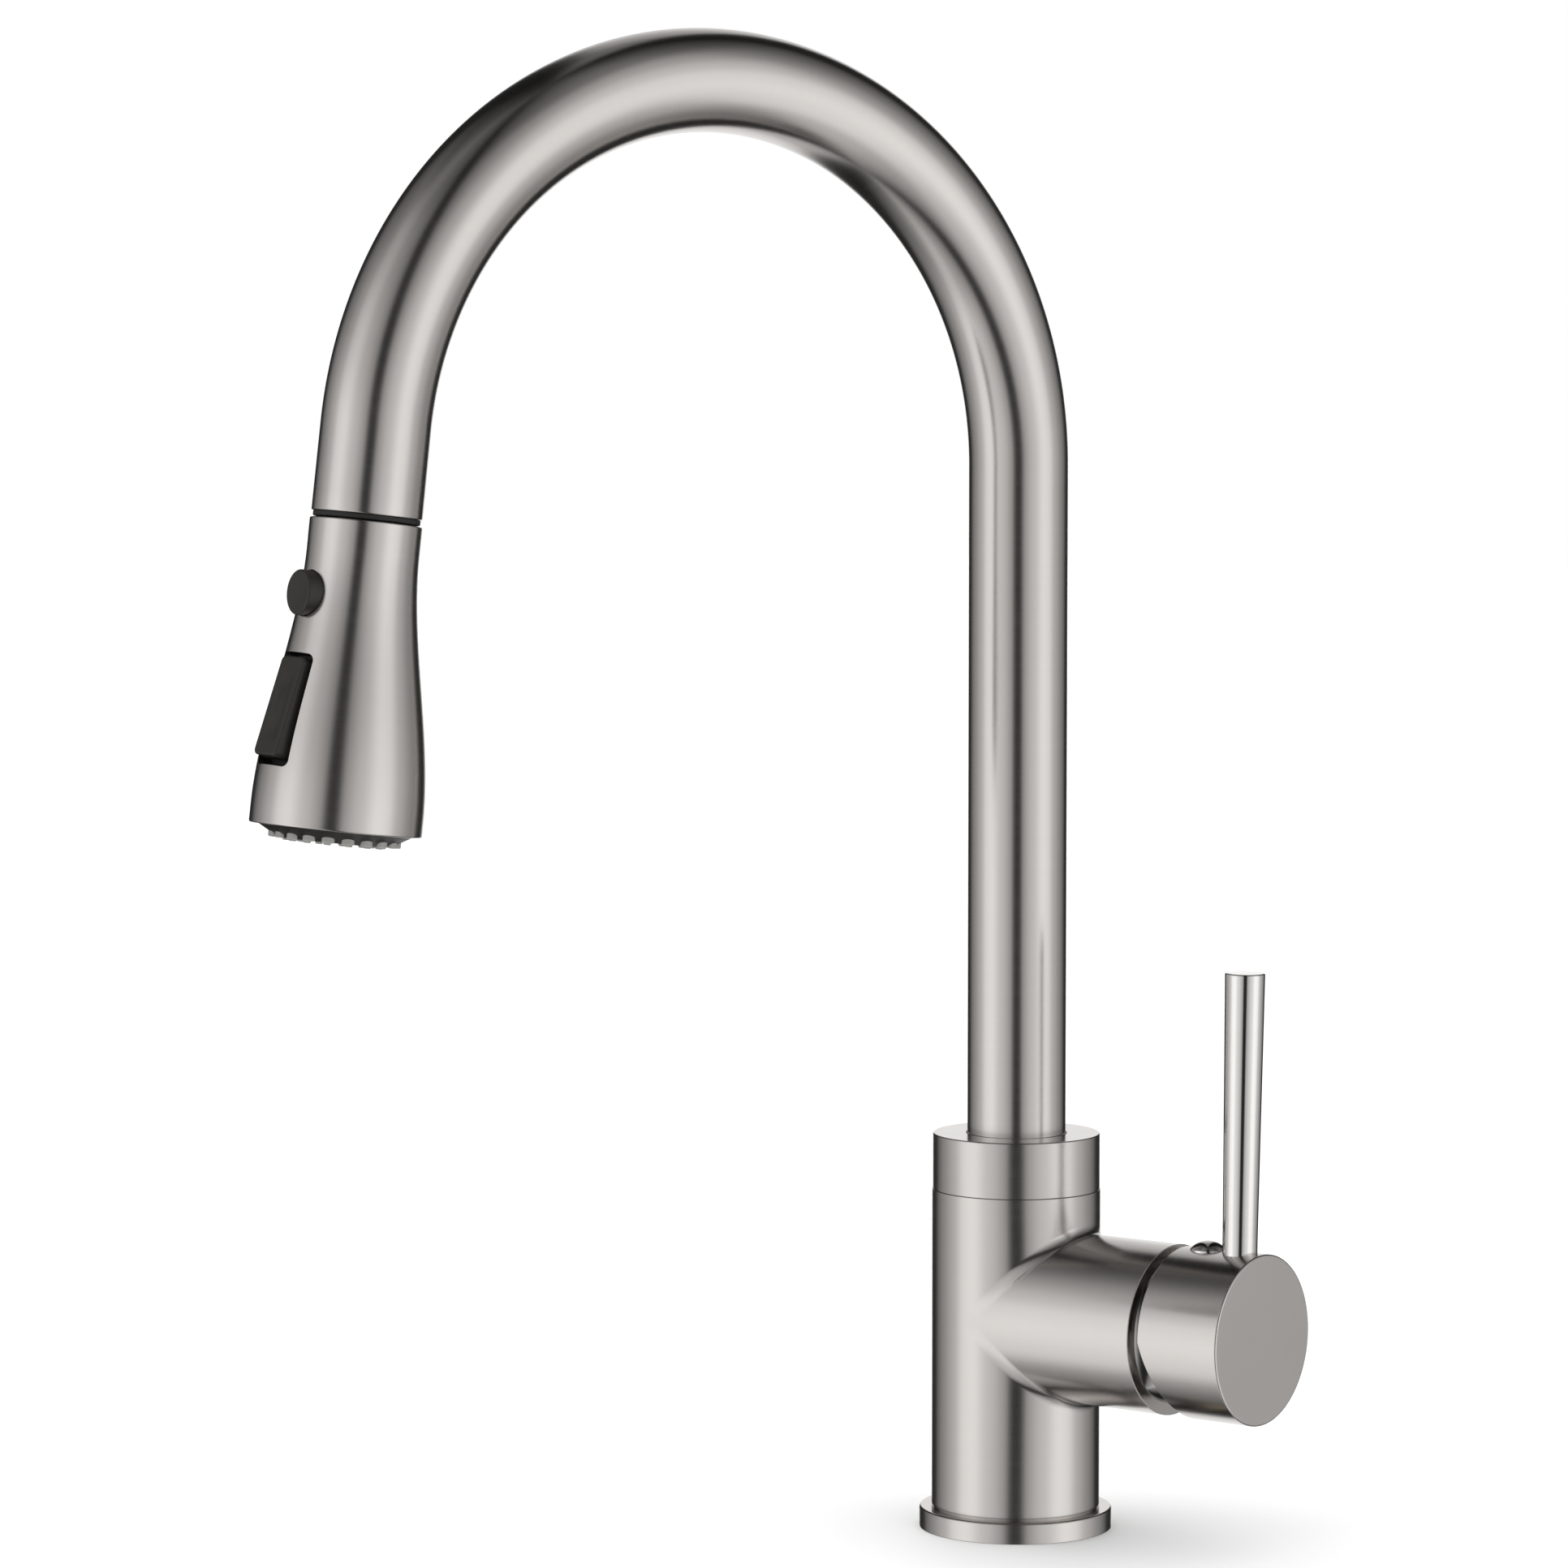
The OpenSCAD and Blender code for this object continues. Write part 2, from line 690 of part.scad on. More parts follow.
// Moulded waterway inside the shell, with the neck that docks in the spout
module head_core() {
    color(black) at_outlet() difference() {
        union() {
            head_solid(shell_wall + seat, shell_wall + seat, core_len);
            translate([0, 0, head_w - 4]) cylinder(r = dock_r, h = 4 + neck_h);
        }
        // Stepped bore for the swivel tail, the screen and the check valve
        translate([0, 0, tail_w]) cylinder(r = tail_r + fit, h = 40);
        translate([0, 0, tail_w - 14]) cylinder(r = tail_r + 1.6, h = 16.2);
        translate([0, 0, head_w - core_len - 1]) cylinder(r = spool_r + fit, h = core_len - 23);
        translate([0, 0, head_w - core_len - 1]) cylinder(r = plate_face_r - 2.95, h = 5);
        translate([0, 0, head_w - core_len]) ring(seal_r, seal_r - seal_w, 1);
        // Pocket, spring floor and rod hole of the pause button
        on_head_side(button_w) translate([0, 0, button_floor])
            cylinder(r = button_d / 2 + slip, h = head_rim_d);
        on_head_side(button_w) cylinder(r = 1.4, h = head_rim_d);
        // Pocket of the rocker, with room for its lug, its finger and its pin
        rocker_place() {
            translate([-pocket_depth, 0, 0])
                soft_block(rocker_len + 2 * slot_margin, rocker_w + 2.4 * slot_margin, 16, 2);
            translate([-rocker_pivot - 3.4, -2.9, -3.6]) cube([8, 5.8, 7.2]);
            translate([-rocker_x, -1.6, -2.6]) cube([rocker_x, 3.2, 5.2]);
            translate([-rocker_pivot, rocker_w, 0]) rotate([90, 0, 0])
                cylinder(r = 1.05, h = 2 * rocker_w);
        }
    }
}

module check_valve() {
    color(acetal) at_outlet() translate([0, 0, tail_w - 8]) {
        ring(tail_r + 1.5, tail_r - 0.6, 5.4);
        translate([0, 0, 1]) cylinder(r = 3, h = 3);
        for (a = [0, 60, 120]) rotate([0, 0, a]) translate([-tail_r, -0.5, 1.5])
            cube([2 * tail_r, 1, 2]);
    }
}

// Inlet screen: a rim with a fine crossed grid
module filter_screen() {
    color(steel) at_outlet() translate([0, 0, tail_w - 2]) {
        ring(tail_r + 1.5, tail_r + 0.2, 1);
        for (i = [-2 : 2]) {
            translate([i * 2 - 0.2, -tail_r, 0.3]) cube([0.4, 2 * tail_r, 0.4]);
            translate([-tail_r, i * 2 - 0.2, 0.3]) cube([2 * tail_r, 0.4, 0.4]);
        }
    }
}

// Spool that the rocker's finger shifts to change between stream and spray
module diverter_spool() {
    finger = rocker_x - rocker_pivot - spool_r + 0.4;
    groove_w = rocker_w0 - rocker_pivot * sin(rocker_slope)
        - finger * sin(rocker_slope + rocker_tip);
    color(acetal) at_outlet() translate([0, 0, groove_w]) difference() {
        translate([0, 0, -7]) cylinder(r = spool_r, h = 14);
        translate([0, 0, -1.3]) ring(spool_r + 1, spool_r - 1.2, 2.6);
        translate([0, 0, -8]) cylinder(r = 2.4, h = 16);
    }
}

// Rod and valve head behind the pause button
module pause_valve() {
    color(steel) at_outlet() on_head_side(button_w) {
        translate([0, 0, -3]) cylinder(r = 1.3, h = button_back + 2 + 3);
        translate([0, 0, -3]) cylinder(r = 1.8, h = 2);
    }
}

// Nozzle plate: a plug behind the rim, a cone below it, and an opening for each nozzle
module nozzle_plate() {
    color(black) at_outlet() difference() {
        union() {
            translate([0, 0, head_w - head_len + 0.2])
                cylinder(r = plate_r, h = head_len - core_len - 1.9);
            translate([0, 0, head_w - head_len - nozzle_h])
                cylinder(r1 = plate_face_r, r2 = plate_r, h = nozzle_h + 0.21);
        }
        translate([0, 0, head_w - head_len - 10]) cylinder(r = aerator_r + fit, h = 30);
        nozzle_nubs();
    }
}

// Ring of count nozzles through the plate
module nub_circle(count, ring_r) {
    for (i = [0 : count - 1]) rotate([0, 0, i * 360 / count]) translate([ring_r, 0, 0])
        children();
}

module nozzle_nubs() {
    face = head_w - head_len - nozzle_h;
    top = head_w - core_len - 1;
    // Oblong nozzles on the cone
    nub_circle(nub_count, nub_ring) translate([-0.95, -1.7, face - 0.1])
        cube([1.9, 3.4, top - face + 0.1]);
    // Round nozzles on the flat face
    for (row = [[14, plate_face_r - 2.35], [10, plate_face_r - 5.15]]) nub_circle(row[0], row[1])
        translate([0, 0, face - 0.7]) cylinder(r = 1, h = top - face + 0.7, $fn = 24);
}

// Silicone mat behind the plate, one piece with the nozzles
module nozzle_mat() {
    color(silicone) at_outlet() difference() {
        union() {
            translate([0, 0, head_w - core_len - 1.6]) cylinder(r = plate_r, h = 1.5);
            nozzle_nubs();
        }
        translate([0, 0, head_w - head_len]) cylinder(r = aerator_r + fit, h = 30);
    }
}

module aerator() {
    color(steel) at_outlet() translate([0, 0, head_w - head_len - nozzle_h + 0.3]) {
        ring(aerator_r, aerator_r - 1, 7);
        for (a = [0 : 30 : 150]) rotate([0, 0, a]) translate([-aerator_r + 0.5, -0.25, 0.5])
            cube([2 * aerator_r - 1, 0.5, 4]);
        for (share = [0.34, 0.63]) let (r = share * aerator_r)
            translate([0, 0, 0.5]) ring(r + 0.25, r - 0.25, 4);
    }
}

module nozzle_seal() {
    color(rubber) at_outlet() translate([0, 0, head_w - core_len + fit])
        ring(seal_r - seat, seal_r - seal_w + seat, 0.9);
}

// ---- rocker and button ----

module rocker_pin() {
    color(steel) at_outlet() rocker_place() translate([-rocker_pivot, rocker_w - 1, 0])
        rotate([90, 0, 0]) cylinder(r = 1, h = 2 * rocker_w - 2);
}

// Turns the rocker about its pin
module tipped() {
    translate([-rocker_pivot, 0, 0]) rotate([0, -rocker_tip, 0])
        translate([rocker_pivot, 0, 0]) children();
}

// Two-way rocker with a thumb dimple at each end, a lug on its pin and a finger inside
module mode_rocker() {
    dimple_r = 14;
    color(black) at_outlet() rocker_place() tipped() difference() {
        union() {
            translate([-rocker_t, 0, 0]) soft_block(rocker_len, rocker_w, rocker_t, 1.6);
            translate([-rocker_pivot, 2.5, 0]) rotate([90, 0, 0]) cylinder(r = 2.5, h = 5);
            translate([-rocker_pivot, -2.5, -2.5]) cube([rocker_pivot - 2, 5, 5]);
            translate([-rocker_x + spool_r - 0.8, -1.3, -1])
                cube([rocker_x - rocker_pivot - spool_r, 2.6, 2]);
        }
        for (i = [-1, 1]) translate([dimple_r - 0.7, 0, i * rocker_len / 4])
            sphere(r = dimple_r);
        translate([-rocker_pivot, 5, 0]) rotate([90, 0, 0]) cylinder(r = 1.05, h = 10);
    }
}

module pause_button() {
    color(black) at_outlet() on_head_side(button_w) difference() {
        translate([0, 0, button_back]) disc_top(button_d / 2, button_x - button_back, 0.5);
        translate([0, 0, button_back - 1]) cylinder(r = spring_r + 1, h = 3);
    }
}

// Coil spring under the button, one swept wire
module pause_spring() {
    turns = 3.5;
    sides = 8;
    rings = 48;
    low = button_floor + wire_r + fit;
    high = button_back + 2 - wire_r - fit;
    at = function(k, j) let (a = 360 * turns * k / rings, b = 360 * j / sides,
            r = spring_r + wire_r * cos(b))
        [r * cos(a), r * sin(a), low + (high - low) * k / rings + wire_r * sin(b)];
    color(steel) at_outlet() on_head_side(button_w) polyhedron(
        points = [for (k = [0 : rings], j = [0 : sides - 1]) at(k, j)],
        faces = concat(
            [[for (j = [0 : sides - 1]) j]],
            [for (k = [0 : rings - 1], j = [0 : sides - 1]) let (n = (j + 1) % sides)
                [k * sides + j, (k + 1) * sides + j, (k + 1) * sides + n, k * sides + n]],
            [[for (j = [sides - 1 : -1 : 0]) rings * sides + j]]));
}

base_flange();
base_gasket();
body();
retaining_collar();
swivel_bush();
thrust_washers();
threaded_shank();
rubber_washer();
clamp_washer();
mounting_nut();
nut_screws();
hose_connector();
cartridge_housing();
cartridge_seals();
fixed_disc();
cartridge_nut();
dome_cover();
cartridge_rotor();
stem_pin();
moving_disc();
disc_carrier();
cartridge_stem();
handle_cap();
lever();
set_screw();
indicator_plug();
spout_tube();
swivel_nipple();
swivel_o_rings();
split_ring();
dock_bush();
dock_gasket();
spray_hose();
hose_ferrule();
swivel_tail();
tail_seal();
head_shell();
head_core();
check_valve();
filter_screen();
diverter_spool();
pause_valve();
nozzle_plate();
nozzle_mat();
aerator();
nozzle_seal();
rocker_pin();
mode_rocker();
pause_button();
pause_spring();
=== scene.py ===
"""Looks of a single-hole pull-down kitchen faucet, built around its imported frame.

Every visible surface is worked out with numpy, in metres and in the frame's own axes: outlines
are turned about an axis, and straight forms are then bent along the spout. Column on +Z, handle
towards +X, sink towards -Y, deck surface at z = 0.
"""

from __future__ import annotations

import json
import logging
import math
from collections.abc import Callable, Mapping, Sequence
from dataclasses import dataclass
from enum import Enum

import bpy
import numpy as np
from mathutils import Matrix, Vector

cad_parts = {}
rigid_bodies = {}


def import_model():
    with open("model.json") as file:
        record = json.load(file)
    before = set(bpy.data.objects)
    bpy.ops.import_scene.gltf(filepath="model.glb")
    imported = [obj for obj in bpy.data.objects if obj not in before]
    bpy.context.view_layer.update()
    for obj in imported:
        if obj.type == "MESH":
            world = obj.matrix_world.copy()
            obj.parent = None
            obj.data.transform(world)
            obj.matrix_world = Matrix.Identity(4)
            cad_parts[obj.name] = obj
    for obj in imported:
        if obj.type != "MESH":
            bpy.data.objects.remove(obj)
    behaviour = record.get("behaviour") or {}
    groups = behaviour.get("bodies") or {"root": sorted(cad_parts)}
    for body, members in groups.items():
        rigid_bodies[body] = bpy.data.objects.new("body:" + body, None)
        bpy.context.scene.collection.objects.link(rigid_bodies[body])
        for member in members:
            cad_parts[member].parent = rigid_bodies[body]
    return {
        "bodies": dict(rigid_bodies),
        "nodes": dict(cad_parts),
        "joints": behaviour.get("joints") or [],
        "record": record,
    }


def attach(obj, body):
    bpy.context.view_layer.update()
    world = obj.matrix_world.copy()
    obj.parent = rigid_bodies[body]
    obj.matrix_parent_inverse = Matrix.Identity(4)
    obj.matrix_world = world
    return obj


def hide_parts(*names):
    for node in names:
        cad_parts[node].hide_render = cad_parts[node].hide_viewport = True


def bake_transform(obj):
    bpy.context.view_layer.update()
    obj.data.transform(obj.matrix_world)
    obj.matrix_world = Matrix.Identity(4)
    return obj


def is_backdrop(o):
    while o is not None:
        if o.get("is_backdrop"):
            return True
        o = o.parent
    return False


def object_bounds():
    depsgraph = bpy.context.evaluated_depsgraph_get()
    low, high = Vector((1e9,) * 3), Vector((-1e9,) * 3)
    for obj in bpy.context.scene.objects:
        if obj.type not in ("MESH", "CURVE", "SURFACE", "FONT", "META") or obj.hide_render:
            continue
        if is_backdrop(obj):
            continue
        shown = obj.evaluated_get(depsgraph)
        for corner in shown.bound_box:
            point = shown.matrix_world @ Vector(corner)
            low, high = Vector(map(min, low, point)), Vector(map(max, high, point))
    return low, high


log = logging.getLogger("faucet")

MM = 0.001
GRAIN = "grain"  # point attribute: a place along the straightened piece, z on its axis
SHARP_EDGE = math.radians(32)


class Slot(Enum):
    """The record's material slots."""

    BRUSHED = "brushed_nickel"
    POLISHED = "polished_nickel"
    STEEL = "steel"
    BRASS = "brass"
    BLACK = "black_plastic"
    ACETAL = "acetal"
    CERAMIC = "ceramic"
    RUBBER = "black_rubber"
    SILICONE = "silicone"
    BRAID = "hose_braid"


# ---- axes and shapes ----


@dataclass(frozen=True)
class Axes:
    """A right-handed set of axes in the frame.

    Args:
        origin: Where the axes meet, in metres.
        rows: The unit vectors x, y and z, one a row.
    """

    origin: np.ndarray
    rows: np.ndarray

    @classmethod
    def along(cls, origin: Sequence[float], axis: Sequence[float], side: Sequence[float]) -> Axes:
        """Makes axes whose z follows a direction.

        Args:
            origin: Where the axes meet.
            axis: The direction of z.
            side: A direction that x leans towards.

        Returns:
            The axes, with x made square to z.
        """
        z = np.array(axis, float) / np.linalg.norm(axis)
        x = np.array(side, float) - np.dot(side, z) * z
        x /= np.linalg.norm(x)
        return cls(np.array(origin, float), np.stack([x, np.cross(z, x), z]))

    def place(self, points: np.ndarray) -> np.ndarray:
        """Points given in these axes, in the frame's axes."""
        return self.origin + points @ self.rows

    def local(self, points: np.ndarray) -> np.ndarray:
        """Points given in the frame's axes, in these axes."""
        return (points - self.origin) @ self.rows.T


WORLD = Axes(np.zeros(3), np.eye(3))


@dataclass
class Shape:
    """A surface as plain arrays.

    Args:
        points: One place a row.
        faces: Tuples of indices into points.
        grain: Each point's place on the straightened piece, or None for its place itself.
    """

    points: np.ndarray
    faces: list[tuple[int, ...]]
    grain: np.ndarray | None = None

    def mapped(self, rule: Callable[[np.ndarray], np.ndarray]) -> Shape:
        """The shape after a rule has moved its points; its grain stays where it was."""
        grain = self.points if self.grain is None else self.grain
        return Shape(rule(self.points), self.faces, grain)

    def warped(self, rule: Callable[[np.ndarray], np.ndarray]) -> Shape:
        """The shape after a rule has moved its points, with its grain moved too."""
        return Shape(rule(self.points), self.faces, None)

    def outward(self) -> Shape:
        """The shape with its faces turned outwards, by the sign of the volume they close."""
        volume = 0.0
        for size in {len(f) for f in self.faces}:
            corners = self.points[np.array([f for f in self.faces if len(f) == size])]
            for k in range(1, size - 1):
                volume += np.einsum(
                    "ij,ij->", corners[:, 0], np.cross(corners[:, k], corners[:, k + 1])
                )
        if volume < 0:
            self.faces = [f[::-1] for f in self.faces]
        return self

    def welded(self, reach: float = 1e-7) -> Shape:
        """The shape with points that fall together made one, and flat faces left out."""
        keys = np.round(self.points / reach).astype(np.int64)
        _, first, index = np.unique(keys, axis=0, return_index=True, return_inverse=True)
        index = index.reshape(-1)
        faces = []
        for face in self.faces:
            ring = [int(index[i]) for i in face]
            ring = [v for v, before in zip(ring, ring[-1:] + ring[:-1]) if v != before]
            if len(ring) > 2:
                faces.append(tuple(ring))
        grain = None if self.grain is None else self.grain[first]
        return Shape(self.points[first], faces, grain)


def values_of(items: bpy.types.bpy_prop_collection, field: str, kind: type = float) -> np.ndarray:
    """One number of every item of a mesh's list.

    Args:
        items: The list, such as a mesh's polygons.
        field: The number's name.
        kind: Its type.

    Returns:
        The numbers in the list's order.
    """
    values = np.zeros(len(items), kind)
    items.foreach_get(field, values)
    return values


def vectors_of(items: bpy.types.bpy_prop_collection, field: str) -> np.ndarray:
    """One vector of every item of a mesh's list, one a row."""
    values = np.zeros(len(items) * 3)
    items.foreach_get(field, values)
    return values.reshape(-1, 3)


def new_object(name: str, data: bpy.types.ID) -> bpy.types.Object:
    """An object in the scene that shows some data."""
    made = bpy.data.objects.new(name, data)
    bpy.context.scene.collection.objects.link(made)
    return made


def new_mesh(name: str, points: np.ndarray, faces: Sequence[Sequence[int]]) -> bpy.types.Mesh:
    """A mesh of some points and faces."""
    mesh = bpy.data.meshes.new(name)
    mesh.from_pydata(points, [], faces)
    mesh.update()
    return mesh


def joined(shapes: Sequence[Shape]) -> Shape:
    """Several shapes as one, side by side.

    Args:
        shapes: The shapes, all with a grain or all without.

    Returns:
        One shape that holds every face.
    """
    starts = np.cumsum([0] + [len(s.points) for s in shapes])
    faces = [tuple(i + int(a) for i in f) for s, a in zip(shapes, starts) for f in s.faces]
    grains = [s.grain for s in shapes if s.grain is not None]
    grain = np.concatenate(grains) if len(grains) == len(shapes) else None
    return Shape(np.concatenate([s.points for s in shapes]), faces, grain)


def grid(points: np.ndarray, close_rows: bool = False, close_columns: bool = False) -> Shape:
    """Faces between neighbours of a two-way grid of points.

    Args:
        points: An array of rows, columns and three coordinates.
        close_rows: Whether the last row joins the first.
        close_columns: Whether the last column joins the first.

    Returns:
        The grid as a shape of four-sided faces.
    """
    rows, columns = points.shape[:2]
    index = np.arange(rows * columns).reshape(rows, columns)
    if close_rows:
        index = np.concatenate([index, index[:1]])
    if close_columns:
        index = np.concatenate([index, index[:, :1]], 1)
    a, b = index[:-1, :-1], index[1:, :-1]
    c, d = index[1:, 1:], index[:-1, 1:]
    quads = np.stack([a, b, c, d], -1).reshape(-1, 4)
    return Shape(points.reshape(-1, 3), [tuple(q) for q in quads.tolist()])


def outline(corners: Sequence[tuple[float, float, float]], steps: int = 5) -> np.ndarray:
    """A polygon with its corners rounded.

    Each corner is (radius, height, fillet). A fillet becomes an arc that touches both sides,
    with one more point just outside each end of it, so that the flats beside it shade flat.

    Args:
        corners: The polygon's corners in order.
        steps: Steps along each arc.

    Returns:
        The outline's points, one a row.
    """
    made: list[np.ndarray] = []
    count = len(corners)
    for i, (x, y, fillet) in enumerate(corners):
        here = np.array([x, y])
        if fillet <= 0:
            made.append(here)
            continue
        sides = [np.array(corners[j % count][:2]) - here for j in (i - 1, i + 1)]
        lengths = [np.linalg.norm(s) for s in sides]
        u, v = (s / n for s, n in zip(sides, lengths))
        half = math.acos(float(np.clip(u @ v, -1, 1))) / 2
        reach = min(fillet / math.tan(half), 0.45 * min(lengths))
        radius = reach * math.tan(half)
        centre = here + (u + v) / np.linalg.norm(u + v) * radius / math.sin(half)
        turn = math.pi - 2 * half
        spin = turn if u[0] * v[1] - u[1] * v[0] < 0 else -turn
        angles = np.linspace(0, spin, steps + 1)
        arm = here + u * reach - centre
        arc = np.stack(
            [
                arm[0] * np.cos(angles) - arm[1] * np.sin(angles),
                arm[0] * np.sin(angles) + arm[1] * np.cos(angles),
            ],
            1,
        )
        guard = min(1.2 * reach, 0.49 * min(lengths))
        made += [here + u * guard, *(centre + arc), here + v * guard]
    return np.array(made)


def ring_outline(
    bore: float, radius: float, low: float, high: float, fillets: Sequence[float] = (0, 0, 0, 0)
) -> np.ndarray:
    """Outline of a ring's section.

    Args:
        bore: Inner radius.
        radius: Outer radius.
        low: Height of the lower side.
        high: Height of the upper side.
        fillets: Radii at the lower inner, lower outer, upper outer and upper inner corner.

    Returns:
        Rows of (radius, height).
    """
    places = ((bore, low), (radius, low), (radius, high), (bore, high))
    return outline([(*place, fillet) for place, fillet in zip(places, fillets)])


def ring_angles(count: int) -> np.ndarray:
    """Angles of a number of even steps round."""
    return 2 * math.pi * np.arange(count) / count


def around(radius: np.ndarray, height: np.ndarray, angles: np.ndarray) -> np.ndarray:
    """Places at some radii and heights and at some angles about the z axis."""
    x, y = radius * np.cos(angles), radius * np.sin(angles)
    return np.stack([x, y, np.broadcast_to(height, x.shape)], -1)


def turned(profile: np.ndarray, count: int = 96, loop: bool = True) -> Shape:
    """Turns an outline about the z axis.

    Formula: point(i, k) = (r_i cos a_k, r_i sin a_k, z_i) with a_k = 2 pi k / count. An
    outline that starts and ends on the axis closes there; another one closes on itself.

    Args:
        profile: Rows of (radius, height).
        count: Steps round the axis.
        loop: Whether the outline closes.

    Returns:
        The turned shape.
    """
    points = around(profile[:, :1], profile[:, 1:], ring_angles(count))
    on_axis = profile[0, 0] < 1e-9
    shape = grid(points, close_rows=loop and not on_axis, close_columns=True)
    return shape.welded().outward() if loop else shape


def rounded_box(length: float, width: float, radius: float, count: int = 72) -> np.ndarray:
    """Outline of a rectangle with round corners, seen from its middle.

    Formula: the corner's circle centre plus its radius times (cos a, sin a), where a goes once
    round and the centre is the corner that a points to.

    Args:
        length: Size along the first coordinate.
        width: Size along the second coordinate.
        radius: Corner radius.
        count: Points round the outline.

    Returns:
        The points, one a row.
    """
    angle = 2 * math.pi * (np.arange(count) + 0.5) / count
    arm = np.stack([np.cos(angle), np.sin(angle)], 1)
    centre = np.sign(arm) * np.array([length / 2 - radius, width / 2 - radius])
    return centre + radius * arm


def stacked(layers: Sequence[tuple[np.ndarray, np.ndarray | float]]) -> Shape:
    """A closed solid through outlines that lie above each other.

    Args:
        layers: Pairs of an outline and its height, which may differ from point to point.

    Returns:
        The solid, closed by a face over its first and its last outline.
    """
    rows = [
        np.concatenate([edge, np.broadcast_to(height, len(edge))[:, None]], 1)
        for edge, height in layers
    ]
    rows = [np.broadcast_to(rows[0].mean(0), rows[0].shape), *rows]
    rows.append(np.broadcast_to(rows[-1].mean(0), rows[0].shape))
    return grid(np.stack(rows), close_columns=True).welded().outward()


def smooth_step(t: np.ndarray | float) -> np.ndarray:
    """The curve 3 t^2 - 2 t^3, held at its ends outside 0 to 1."""
    t = np.clip(t, 0, 1)
    return t * t * (3 - 2 * t)


# ---- shader expressions ----


class Wire:
    """A node's output, used in Python expressions that add Math nodes."""

    def __init__(self, shader: Shader, socket: bpy.types.NodeSocket) -> None:
        """Wraps a socket of a shader's tree."""
        self.shader = shader
        self.socket = socket

    def _with(self, operation: str, *values: Wire | float) -> Wire:
        """The result of one Math node."""
        inputs = dict(enumerate(values))
        return self.shader.wire("ShaderNodeMath", {"operation": operation}, inputs)

    def __add__(self, other: Wire | float) -> Wire:
        """Sum."""
        return self._with("ADD", self, other)

    def __sub__(self, other: Wire | float) -> Wire:
        """Difference."""
        return self._with("SUBTRACT", self, other)

    def __rsub__(self, other: float) -> Wire:
        """Difference, with the number first."""
        return self._with("SUBTRACT", other, self)

    def __mul__(self, other: Wire | float) -> Wire:
        """Product."""
        return self._with("MULTIPLY", self, other)

    def __rmul__(self, other: float) -> Wire:
        """Product, with the number first."""
        return self._with("MULTIPLY", other, self)

    def apply(self, operation: str, *values: Wire | float) -> Wire:
        """Any other Math operation on this value."""
        return self._with(operation, self, *values)


